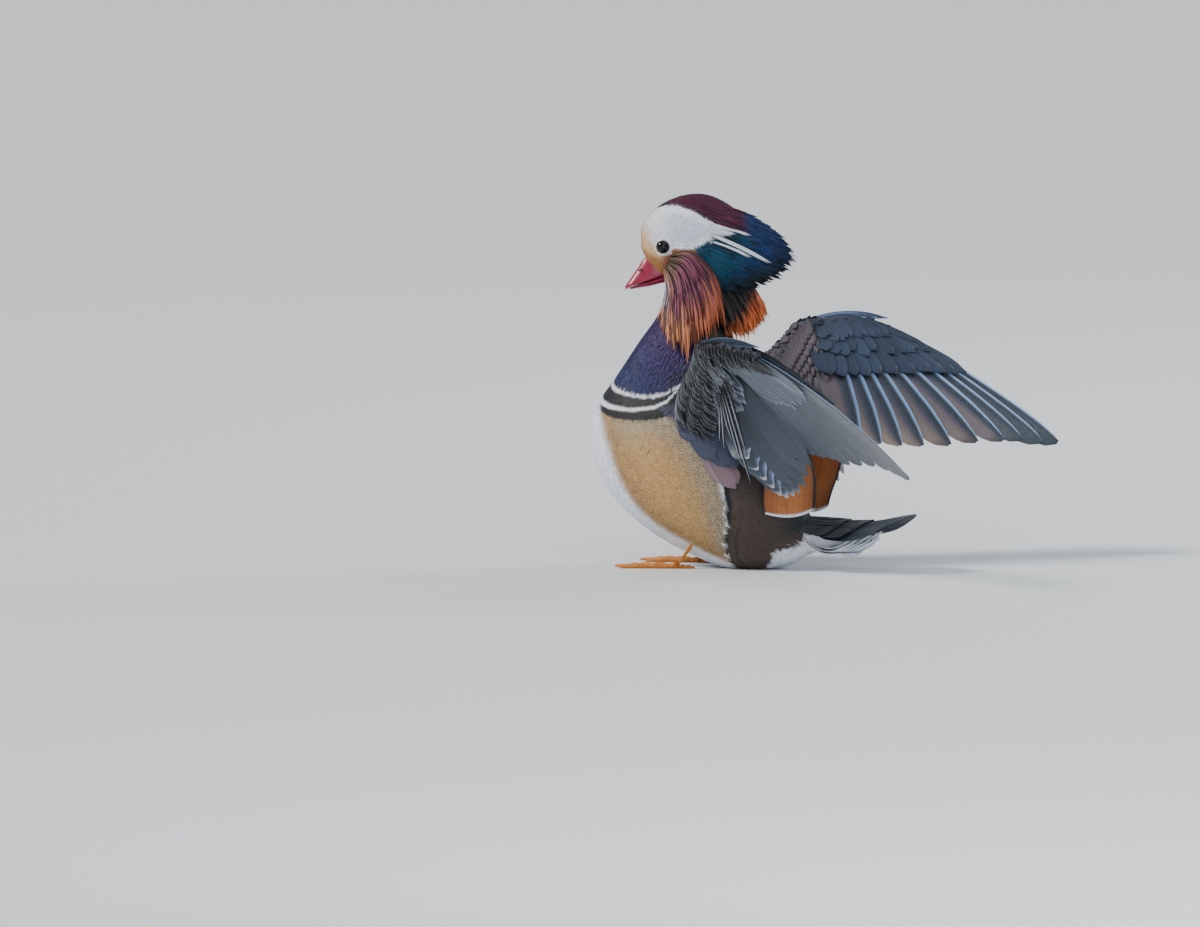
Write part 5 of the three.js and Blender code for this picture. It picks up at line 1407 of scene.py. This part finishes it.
def buildWings(materials):
    for label, mirrored in (("Left", False), ("Right", True)):
        side = label.lower()
        for name, surface, paint, spec in armTiers:
            piece = buildTier(name + label, surface, spec, paint, materials, mirrored)
            if name == "secondaries":
                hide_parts("wing_arm_" + side)
        for name, surface, paint, spec in handTiers:
            piece = buildTier(name + label, surface, spec, paint, materials, mirrored)
            if name == "primaries":
                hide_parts("wing_hand_" + side)
        buildAlula(materials, label, mirrored)
        buildElbow(materials, label, mirrored)
        buildFringes(materials, label, mirrored)


alula = {"starts": [(122, 55, 188), (121, 56, 187.5), (120, 58, 187)], "middles": [(142, 76, 197), (138, 75, 195), (134, 76, 194)],
         "ends": [(156, 113, 190), (150, 106, 190.5), (144, 98, 191)], "half": 4.2, "up": (-0.6, 0.5, 0.6)}


def buildAlula(materials, label, mirrored):
    form = leaves["covert"]
    start, middle, end = (metres(alula[k]) for k in ("starts", "middles", "ends"))
    up = np.broadcast_to(unit(np.array(alula["up"])), start.shape)
    place, across, up = curveFrames(start, middle, end, up, up, form["t"])
    colour = paintWith("covert", "silver", 0.45)(form["u"][None], form["row"][None], form["w"][None], np.zeros((3, 1)))
    uv = np.array([[0.75 + (-1 if mirrored else 1) * (0.2 + 0.01 * k), 0.95] for k in range(3)])
    stampLeaves("alula" + label, form, place, across, up, alula["half"] * mm, 0.45 * mm,
                np.broadcast_to(colour, place.shape[:2] + (4,)), uv, materials["covertFeather"], "wing_plumage", mirrored)


# Hanging blades of the wing lining, row over row from the leading edge: shares along the limb and across it
# of the roots, reach and half-width at both ends in millimetres, and lift at the tip
fringes = [
    {"part": "arm", "span": (0.03, 0.99), "count": 17, "across": 0.66, "reach": (22, 15), "slide": -0.9, "half": (2.4, 1.8),
     "lift": 1.2, "pale": 0.4},
    {"part": "arm", "span": (0.02, 0.99), "count": 20, "across": 0.34, "reach": (20, 13), "slide": -1.1, "half": (2.1, 1.5),
     "lift": 2.2, "pale": 0.4},
    {"part": "arm", "span": (0.10, 0.99), "count": 27, "across": 0.02, "reach": (18, 12), "slide": -1.2, "half": (1.6, 1.1),
     "lift": 3.2, "pale": 0.5},
    {"part": "arm", "span": (0.30, 0.40), "count": 3, "across": 0.04, "reach": (34, 26), "slide": -2.2, "half": (3.0, 2.4),
     "lift": 4.6, "pale": 0.7},
    {"part": "hand", "span": (0.02, 0.62), "count": 13, "across": 0.35, "reach": (29, 18), "hang": (-0.05, 0.50, -0.86),
     "half": (1.9, 1.6), "lift": 3.6, "pale": 0.9},
    {"part": "hand", "span": (0.02, 0.78), "count": 15, "across": 0.15, "reach": (23, 12), "hang": (-0.03, 0.48, -0.87),
     "half": (1.6, 1.3), "lift": 4.6, "pale": 0.35},
    {"part": "hand", "span": (0.0, 0.96), "count": 24, "across": 0.02, "reach": (14, 6), "hang": (0.0, 0.40, -0.9),
     "half": (1.2, 0.9), "lift": 4.6, "pale": 0.5},
]


def underside(part, t, across, lift):
    lead, trail, thick, span, dorsal = limbFrame(part, t)
    bulge = np.sqrt(np.maximum(1 - (1 - 2 * np.clip(across, 0, 1)) ** 2, 0))
    point = lead + (trail - lead) * np.asarray(across)[..., None] - dorsal * (thick / 2 * bulge + lift)[..., None]
    return point, lead, trail, thick, span, dorsal


def buildFringes(materials, label, mirrored):
    form = leaves["slip"]
    starts, middles, ends, ups, halves, pales = [], [], [], [], [], []
    for row in fringes:
        t = np.linspace(*row["span"], row["count"]) + draw.normal(0, 0.006, row["count"])
        t = np.clip(t, 0, 1)
        reach = np.interp(t, [0, 1], row["reach"]) * draw.uniform(0.85, 1.1, len(t))
        root, lead, trail, thick, span, dorsal = underside(row["part"], t, np.full(len(t), row["across"]), np.full(len(t), -0.4))
        if "hang" in row:
            hang = unit(np.array(row["hang"]) + draw.normal(0, 0.06, (len(t), 3)))
        else:
            hang = unit(unit(trail - lead) + span * row["slide"] + draw.normal(0, 0.07, (len(t), 3)))
        tip = root + hang * reach[:, None]
        # lay the middle and the tip on the lining by their place across the chord
        chord = trail - lead
        across = ((tip - lead) * chord).sum(axis=-1) / (chord * chord).sum(axis=-1)
        bulge = np.sqrt(np.maximum(1 - (1 - 2 * np.clip(across, 0, 1)) ** 2, 0))
        depth = -((tip - lead) * dorsal).sum(axis=-1)
        rise = row["lift"] * draw.uniform(0.6, 1.3, len(t))
        tip = tip - dorsal * np.maximum(thick / 2 * bulge + rise - depth, 0)[:, None]
        middle = (root + tip) / 2 - dorsal * (thick * 0.16 + rise * 0.5)[:, None]
        for kept, value in zip((starts, middles, ends, ups, halves, pales),
                               (root, middle, tip, -dorsal, np.interp(t, [0, 1], row["half"]), np.full(len(t), row["pale"]))):
            kept.append(value)
    start, middle, end, up, half, pale = (np.concatenate(v) for v in (starts, middles, ends, ups, halves, pales))
    start, middle, end = metres(start), metres(middle), metres(end)
    place, across, up = curveFrames(start, 2 * middle - (start + end) / 2, end, up, up, form["t"])
    rim = np.clip(ramp(form["u"], 0.35, 1.0) + 0.7 * ramp(form["row"], 0.85, 1.0), 0, 1)[None, :, None]
    body = tints["armDark"] * 0.75 + (tints["under"] - tints["armDark"] * 0.75) * (
        ramp(form["row"], 0.35, 0.9)[None, :, None] * pale[:, None, None] * 0.8)
    light = draw.uniform(0.55, 1.0, (len(start), 1, 1))
    colour = body * (1 - rim * light) + tints["fringe"] * (rim * light)
    uv = np.stack([0.75 + (-1 if mirrored else 1) * (0.02 + 0.2 * np.linspace(0, 1, len(start))), np.full(len(start), 0.965)],
                  axis=-1)
    stampLeaves("liningBlades" + label, form, place, across, up, half[:, None] * mm, 0.3 * mm, colour, uv,
                materials["covertFeather"], "wing_plumage", mirrored)


# Long slips hanging from the elbow's underside, each through root, middle and tip
elbow = {
    "rows": [((96, 59, 152), (82, 57, 134), (70, 60, 107)), ((99, 62, 155), (84, 64, 130), (70, 76, 73)),
             ((93, 57, 149), (79, 55, 128), (69, 53, 100)), ((101, 65, 157), (88, 68, 134), (73, 74, 95)),
             ((90, 54, 146), (76, 52, 128), (67, 48, 106)), ((98, 60, 153), (83, 61, 130), (70, 68, 88))],
    "toward": (5.0, 1.5, 0.5), "half": 1.3,
}


def buildElbow(materials, label, mirrored):
    form = leaves["hackle"]
    start, middle, end = (metres([np.add(row[k], elbow["toward"]) for row in elbow["rows"]]) for k in range(3))
    up = np.broadcast_to(unit(np.array([0.9, 0.1, 0.35])), start.shape)
    place, across, up = curveFrames(start, 2 * middle - (start + end) / 2, end, up, up, form["t"])
    rim = ramp(form["u"], 0.3, 1.0)[None, :, None] * ramp(form["row"], 0.2, 0.5)[None, :, None]
    colour = (tints["black"] * (1 - rim) + tints["fringe"] * rim) + np.zeros((len(start), 1, 1))
    uv = np.array([[0.75 + (-1 if mirrored else 1) * (0.02 + 0.01 * k), 0.955] for k in range(len(start))])
    stampLeaves("elbowSlips" + label, form, place, across, up, elbow["half"] * mm * np.ones((len(start), 1)), 0.4 * mm,
                colour, uv, materials["covertFeather"], "wing_plumage", mirrored)


# Shoulder feathers over the flank's rear edge: root and tip as shares round and along the body
lobes = {
    "pinkLobe": {"rows": [((0.625, 0.495), (0.650, 0.625)), ((0.648, 0.505), (0.668, 0.645)), ((0.668, 0.52), (0.688, 0.632))],
                 "width": 13, "lift": (0.4, 1.4), "tint": ("mauve", "slate", 0.3)},
    "slateLobe": {"rows": [((0.585, 0.400), (0.615, 0.500)), ((0.600, 0.405), (0.655, 0.556)), ((0.635, 0.405), (0.688, 0.582)),
                           ((0.675, 0.405), (0.716, 0.586)), ((0.715, 0.405), (0.748, 0.575)), ((0.755, 0.405), (0.785, 0.575))],
                  "width": 19, "lift": (0.6, 2.2), "tint": ("slate", "black", 0.25)},
}
# Rows of shoulder feathers: first and last share round, share along, reach and count
backRows = [(0.66, 0.33, 0.075, 9), (0.65, 0.375, 0.08, 9), (0.70, 0.42, 0.085, 8), (0.72, 0.465, 0.09, 8), (0.75, 0.51, 0.09, 7)]
for level, (first, along, reach, count) in enumerate(backRows):
    lobes["mantle" + "ABCDE"[level]] = {
        "rows": [((s, along), (s + 0.015 * (1 - s) / 0.3, along + reach)) for s in np.linspace(first, 0.985, count)],
        "width": 13, "lift": (0.7 + 0.25 * (5 - level), 2.6), "tint": ("mantle", "black", 0.5)}


def buildLobes(materials):
    for name, spec in lobes.items():
        form = leaves["small" if name.startswith("mantle") else "blunt"]
        rows = np.array(spec["rows"])
        s = rows[:, 0, 0][:, None] + (rows[:, 1, 0] - rows[:, 0, 0])[:, None] * form["t"][None]
        t = rows[:, 0, 1][:, None] + (rows[:, 1, 1] - rows[:, 0, 1])[:, None] * form["t"][None]
        step = 0.004
        around = bodyPoint(s + step, t) - bodyPoint(s - step, t)
        back = bodyPoint(s, t + step) - bodyPoint(s, t - step)
        slope = (rows[:, 1] - rows[:, 0])[:, None]
        along = unit(around * slope[..., :1] + back * slope[..., 1:])
        out = square(-np.cross(around, back), along)
        out = out * np.sign((out * (bodyPoint(s, t) - [0, 0, 0.08])).sum(axis=-1, keepdims=True))
        over = np.cross(along, out)
        lift = spec["lift"][0] + (spec["lift"][1] - spec["lift"][0]) * form["t"][None]
        stagger = (np.arange(len(rows)) % 2 * 0.5)[:, None]
        place = bodyPoint(s, t) + out * ((lift + stagger) * mm)[..., None]
        inside, rim, share = spec["tint"]
        colour = paintWith(inside, rim, share, 0.9, 0.8)(form["u"][None], form["row"][None], form["w"][None],
                                                          np.zeros((len(rows), 1)))
        colour = colour * np.concatenate([np.repeat(draw.uniform(0.8, 1.15, (len(rows), 1, 1)), 3, axis=2),
                                          np.ones((len(rows), 1, 1))], axis=2)
        for label, mirrored in (("Left", False), ("Right", True)):
            uv = np.stack([0.25 + (-1 if mirrored else 1) * 0.23 * rows[:, 0, 0], 0.02 + 0.6 * rows[:, 0, 1]], axis=-1)
            stampLeaves(name + label, form, place, over, out, spec["width"] / 2 * mm * np.ones((len(rows), 1)), 0.45 * mm,
                        colour, uv, materials["covertFeather"], "body_plumage", mirrored)


# Tail

def paintQuill(u, t, w, i):
    colour = tints["quill"] + np.zeros(np.broadcast(u, t, w, i).shape + (4,))
    return blend(colour, tints["black"], edgeLine(u, t) * 0.7)


def buildTail(materials):
    dark = paintWith("rump", "black", 0.5)
    pale = paintWith("bellyWhite", "white", 0.4)
    rows = [
        ("tailQuills", "tailQuills", paintQuill, {"form": "vane", "material": "vaneFeather", "count": 7, "from": 0,
         "to": 1, "lift": (0, 0), "width": (15, 15), "thick": 0.45, "tilt": 14, "shaft": 0.25, "uvRow": 0.30}),
        ("upperTailCoverts", "tailQuills", dark, {"form": "blunt", "count": 5, "from": -0.12, "to": 0.55,
         "lift": (2.4, 3.0), "width": (16, 16), "thick": 0.4, "tilt": 5, "uvRow": 0.32}),
        ("shortTailCoverts", "tailQuills", dark, {"form": "blunt", "count": 5, "from": -0.2, "to": 0.3,
         "lift": (3.6, 4.6), "width": (16, 16), "thick": 0.4, "tilt": 5, "uvRow": 0.34}),
        ("underTailCoverts", "underTail", pale, {"form": "blunt", "count": 5, "from": 0, "to": 1,
         "lift": (0, 0), "width": (16, 16), "thick": 0.4, "tilt": -6, "uvRow": 0.36}),
        ("shortUnderTailCoverts", "underTail", pale, {"form": "blunt", "count": 5, "from": -0.15, "to": 0.7,
         "lift": (-1.5, -2), "width": (16, 16), "thick": 0.4, "tilt": -6, "uvRow": 0.38}),
        ("innerUnderTailCoverts", "underTail", pale, {"form": "blunt", "count": 5, "from": -0.05, "to": 1.05,
         "lift": (2, 3), "width": (16, 14), "thick": 0.4, "tilt": -6, "uvRow": 0.40}),
    ]
    for half, sign, inner, outer in (("Left", -1, 0.54, 1.0), ("Right", 1, 0.46, 0.0)):
        for name, surface, paint, spec in rows:
            spec = dict(spec, inner=inner, outer=outer, tilt=spec["tilt"] * sign, outerWeb=0.5 - 0.05 * sign)
            piece = buildTier(name + half, surface, spec, paint, materials, False, "tail_plumage")
            if name == "tailQuills":
                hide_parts("tail")


# Sail feathers: broad upright fans behind each wing

sail = {  # edges from the elbow to the foot
    "fore": [(73, 46, 142), (62, 64, 124), (54, 78, 104), (47, 79, 78), (39, 75, 54), (34, 76, 42.5)],
    "aft": [(70, 50, 140), (56, 80, 122), (42, 112, 102), (31, 116, 80), (19, 112, 58), (15, 109, 44.5)],
    "out": (0.85, 0.5, 0.1), "crown": 1.2, "thick": 0.6,
}


def buildSails(materials):
    form = leaf(26, 40, [(0, 1), (1, 1)])
    u, t = form["u"], form["row"]
    share = (u + 1) / 2
    curl = t * (1 - 0.075 * (2 * share - 1) ** 2 * ramp(t, 0.5, 1))
    fore, aft = through(sail["fore"], curl), through(sail["aft"], curl)
    place = aft * (1 - share)[:, None] + fore * share[:, None]
    out = unit(np.array(sail["out"]))
    place = place + out * (sail["crown"] * (4 * share * (1 - share) + 0.5 * np.sin(t * 7)))[:, None]
    # painted light: the sail's orange turns lighter through the middle toward the tip
    colour = blend(tints["sail"], tints["sailLight"], ramp(t, 0.3, 0.95) * ramp(np.abs(share - 0.5), 0.5, 0.1) * 0.8)
    rays = 0.5 + 0.5 * np.sin((share - 0.5) * 60 + 3 * np.sin(t * 4))
    # the rays follow the sail's barbs; the darkening toward the aft edge is painted shade
    colour = blend(colour, tints["sailDark"], rays * 0.3 + ramp(share, 0.35, 0.0) * 0.25)
    colour = blend(colour, tints["sailDark"] * 0.5, ramp(np.abs(share - 0.58), 0.03, 0.01) * ramp(t, 0.2, 0.4) * 0.35)
    colour = blend(colour, tints["white"], ramp(t, 0.96, 0.975))
    colour = blend(colour, tints["black"], np.maximum(ramp(share, 0.08, 0.05), ramp(share, 0.96, 0.98)) * ramp(t, 0.99, 0.97))
    along = unit(np.gradient(place, axis=0))
    for label, mirrored in (("Left", False), ("Right", True)):
        across = unit(fore - aft)
        up = square(np.broadcast_to(out, across.shape), across)
        piece = stampLeaves("sail" + label, dict(form, u=form["u"]), metres(place)[None], across[None] * 0, up[None],
                            np.full((1, 1), 1.0) * mm, sail["thick"] * mm, colour[None],
                            np.array([[0.9 if mirrored else 0.6, 0.99]]), materials["vaneFeather"], "sail_plumage", mirrored)
        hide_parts("sail_" + label.lower())


# Bill

bill = {
    "upper": [((25.5, -9), (13, -25.5), 6.8), ((29.5, -12), (18, -27.2), 7.2), ((34, -19), (25.5, -29.6), 6.9),
              ((38.8, -26), (33.5, -32), 6.2), ((42.4, -31.2), (40, -34.2), 5.0), ((44.6, -34.4), (43.4, -36.4), 2.9)],
    "lower": [((12, -26.0), (10, -30.4), 5.8), ((18, -27.9), (16.5, -32), 5.8), ((25.5, -30.3), (24.5, -34), 5.5),
              ((33.5, -32.7), (32.8, -35.4), 4.9), ((40.9, -35.2), (40.4, -36.7), 2.8)],
    "nail": [((40.4, -28.3), (40.2, -31), 2.0), ((42.6, -31.6), (41.4, -33.6), 2.9), ((44.4, -34.6), (42.8, -36), 2.9),
             ((45.0, -36.4), (43.4, -37.2), 1.7)],
    "nostril": (32.2, -20.6, 5.4),
}


def mandible(stations, sign, count=26):
    rows = np.array([(*top, *bottom, half) for top, bottom, half in stations])
    rings = []
    for f0, u0, f1, u1, half in through(rows, np.linspace(0, 1, count)):
        top, bottom = headPoint(f0, u0, 0), headPoint(f1, u1, 0)
        base, rise = (bottom, top - bottom) if sign > 0 else (top, bottom - top)
        rings.append((base + rise * 0.1, rise * 0.9, headSide * half * mm))

    def dShape(co):
        # domed away from the mouth line, nearly flat along it, with a faint ridge
        x, y = co.x, co.y
        x = x * (0.94 + 0.06 * (1 - y * y)) if x > 0 else x * 0.16
        return Vector((x, y * (1 - 0.06 * max(0, co.x)), 0))

    bm = bmesh.new()
    loft(bm, rings, 30, dShape)
    return bm


def buildBill(materials):
    upper = addPiece("billUpper", meshOf(mandible(bill["upper"], 1), "billUpper"), materials["billSheath"], "bill_horn")
    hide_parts("bill_upper")
    lower = addPiece("billLower", meshOf(mandible(bill["lower"], -1), "billLower"), materials["billSheath"], "bill_horn")
    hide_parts("bill_lower")
    addPiece("billNail", meshOf(mandible(bill["nail"], 1, 10), "billNail"), materials["billNail"], "bill_horn")
    for side, label in ((1, "Left"), (-1, "Right")):
        bm = bmesh.new()
        bmesh.ops.create_uvsphere(bm, u_segments=14, v_segments=10, radius=1)
        f, u, s = bill["nostril"]
        turn = Matrix((Vector(headForward * 0.8 - headUp * 0.6) * 2.0 * mm, Vector(headSide) * 0.7 * mm,
                       Vector(headForward * 0.6 + headUp * 0.8) * 0.8 * mm)).transposed().to_4x4()
        turn.translation = Vector(headPoint(f, u, s * side))
        bmesh.ops.transform(bm, matrix=turn, verts=bm.verts[:])
        bmesh.ops.recalc_face_normals(bm, faces=bm.faces[:])
        addPiece("nostril" + label, meshOf(bm, "nostril"), materials["lidSkin"], "bill_horn")


# Eyes and lids

eye = {"forward": 14.2, "up": -1.6, "side": 11.6, "radius": 5.6, "pupil": 3.4, "lidRadius": 4.9, "lid": 0.36, "lidSide": 14.55}


def buildEyes(materials):
    for side, label in ((1, "Left"), (-1, "Right")):
        centre = headPoint(eye["forward"], eye["up"], eye["side"] * side)
        bm = bmesh.new()
        bmesh.ops.create_uvsphere(bm, u_segments=40, v_segments=24, radius=eye["radius"] * mm,
                                  matrix=Matrix.Translation(Vector(centre)))
        mesh = meshOf(bm, "eye")
        co = np.array([v.co for v in mesh.vertices]) - centre
        fromAxis = np.linalg.norm(co - np.outer(co @ headSide, headSide), axis=-1) / mm
        iris = mesh.attributes.new("iris", "FLOAT", "POINT")
        iris.data.foreach_set("value", ramp(fromAxis, eye["pupil"], eye["pupil"] + 0.5).astype(np.float32))
        ball = addPiece("eyeBall" + label, mesh, materials["wetEye"], "eye")
        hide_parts("eye_" + label.lower())
        bm = bmesh.new()
        ring = bmesh.ops.create_circle(bm, segments=10, radius=eye["lid"] * mm,
                                       matrix=Matrix.Translation((eye["lidRadius"] * mm, 0, 0)) @ Matrix.Rotation(math.pi / 2, 4, "X"))
        edges = list({e for v in ring["verts"] for e in v.link_edges})
        bmesh.ops.spin(bm, geom=edges, cent=(0, 0, 0), axis=(0, 0, 1), angle=math.tau, steps=40, use_merge=True)
        bmesh.ops.recalc_face_normals(bm, faces=bm.faces[:])
        turn = Matrix((Vector(headForward), Vector(headUp), Vector(headSide * side))).transposed().to_4x4()
        lean = Matrix.Rotation(0.12, 4, "Y")
        turn = turn @ lean
        turn.translation = Vector(headPoint(eye["forward"], eye["up"], eye["lidSide"] * side))
        bmesh.ops.transform(bm, matrix=turn, verts=bm.verts[:])
        bmesh.ops.recalc_face_normals(bm, faces=bm.faces[:])
        addPiece("lid" + label, meshOf(bm, "lid"), materials["lidSkin"], "head_plumage")


# Feet

foot = {"heel": (28, -2), "toes": [(42, -46), (30, -54), (18, -45)], "hind": (24, 12), "shank": [(27, 14, 24), (28, 0, 5)]}


def toeRings(start, end, half, high):
    rings = []
    for share in np.linspace(0, 1, 16):
        knuckle = 1 + 0.16 * math.cos(share * 3 * math.tau)
        size = np.interp(share, [0, 0.5, 0.9, 1], [1.0, 0.85, 0.62, 0.3]) * knuckle
        centre = np.array([start[0] + (end[0] - start[0]) * share, start[1] + (end[1] - start[1]) * share, 0.0])
        tall = high * size / 2
        across = unit(np.array([end[1] - start[1], start[0] - end[0], 0.0]))
        centre[2] = tall + 0.05
        rings.append((metres(centre), across * half * size * mm, (0, 0, tall * mm)))
    return rings


def buildFeet(materials):
    for side, label in ((1, "left"), (-1, "right")):
        flip = np.array([side, 1, 1])
        bm = bmesh.new()
        for tip in foot["toes"]:
            loft(bm, [(c * flip, a * flip, b) for c, a, b in toeRings(foot["heel"], tip, 2.2, 4.4)], 14)
        loft(bm, [(c * flip, a * flip, b) for c, a, b in toeRings(foot["heel"], foot["hind"], 1.6, 3.4)], 12)
        top, bottom = (np.array(p, float) for p in foot["shank"])
        rings = []
        for share in np.linspace(0, 1, 8):
            centre = top + (bottom - top) * share
            half = np.interp(share, [0, 0.6, 1], [4.8, 3.4, 3.2]) * mm
            rings.append((metres(centre) * flip, (half, 0, 0), np.array([0, 0.35, 0.94]) * half * 1.15))
        loft(bm, rings, 14)
        bmesh.ops.recalc_face_normals(bm, faces=bm.faces[:])
        piece = addPiece("webbedFoot" + label.title(), meshOf(bm, "foot"), materials["footScutes"], "foot_skin")
        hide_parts("foot_" + label, "leg_" + label)
        bm = bmesh.new()
        outer, middle, inner = (np.array(p, float) for p in foot["toes"])
        heel = np.array(foot["heel"], float)
        outline = [heel + (2.5, 0)]
        for one, two in ((outer, middle), (middle, inner)):
            for share in np.linspace(0, 1, 9):
                point = one * (1 - share) + two * share
                point = point + (heel - point) * (0.08 + 0.22 * math.sin(share * math.pi))
                outline.append(point)
        outline.append(heel - (2.5, 0))
        verts = [bm.verts.new(Vector(metres((*p, 0.7)) * flip)) for p in outline]
        made = bmesh.ops.contextual_create(bm, geom=verts)["faces"]
        bmesh.ops.triangulate(bm, faces=made)
        bmesh.ops.solidify(bm, geom=bm.faces[:], thickness=0.7 * mm)
        bmesh.ops.recalc_face_normals(bm, faces=bm.faces[:])
        addPiece("web" + label.title(), meshOf(bm, "web"), materials["footWeb"], "foot_skin")
        bm = bmesh.new()
        for tip in [*foot["toes"], foot["hind"]]:
            end = np.array(tip, float)
            away = unit(end - heel)
            rings = []
            for share in np.linspace(0, 1, 6):
                centre = end + away * (share * 2.6 - 2.4)
                size = 1.0 - 0.8 * share
                rings.append((metres((*centre, 1.1 - 0.5 * share)) * flip, np.array([away[1], -away[0], 0]) * flip * 0.8 * size * mm,
                              (0, 0, 0.9 * size * mm)))
            loft(bm, rings, 8)
        bmesh.ops.recalc_face_normals(bm, faces=bm.faces[:])
        addPiece("claws" + label.title(), meshOf(bm, "claws"), materials["clawHorn"], "foot_skin")


# Floor

def layFloor(materials):
    bm = bmesh.new()
    bmesh.ops.create_grid(bm, x_segments=2, y_segments=2, size=14)
    floor = addPiece("floor", meshOf(bm, "floor"), materials["floorPaper"], None)


standCamera()
hangLights()
materials = makeMaterials()
print("camera, lights and materials")
guides = buildGuides()
skin = buildSkin(guides, materials)
print("skin", len(skin.data.polygons))
coatPieces(skin, guides, materials)
print("coat")
buildCrest(materials)
buildRuff(materials)
print("crest and ruff")
buildWings(materials)
buildLobes(materials)
buildTail(materials)
buildSails(materials)
print("flight feathers")
buildBill(materials)
buildEyes(materials)
buildFeet(materials)
layFloor(materials)
print("bill, eyes, feet and floor")
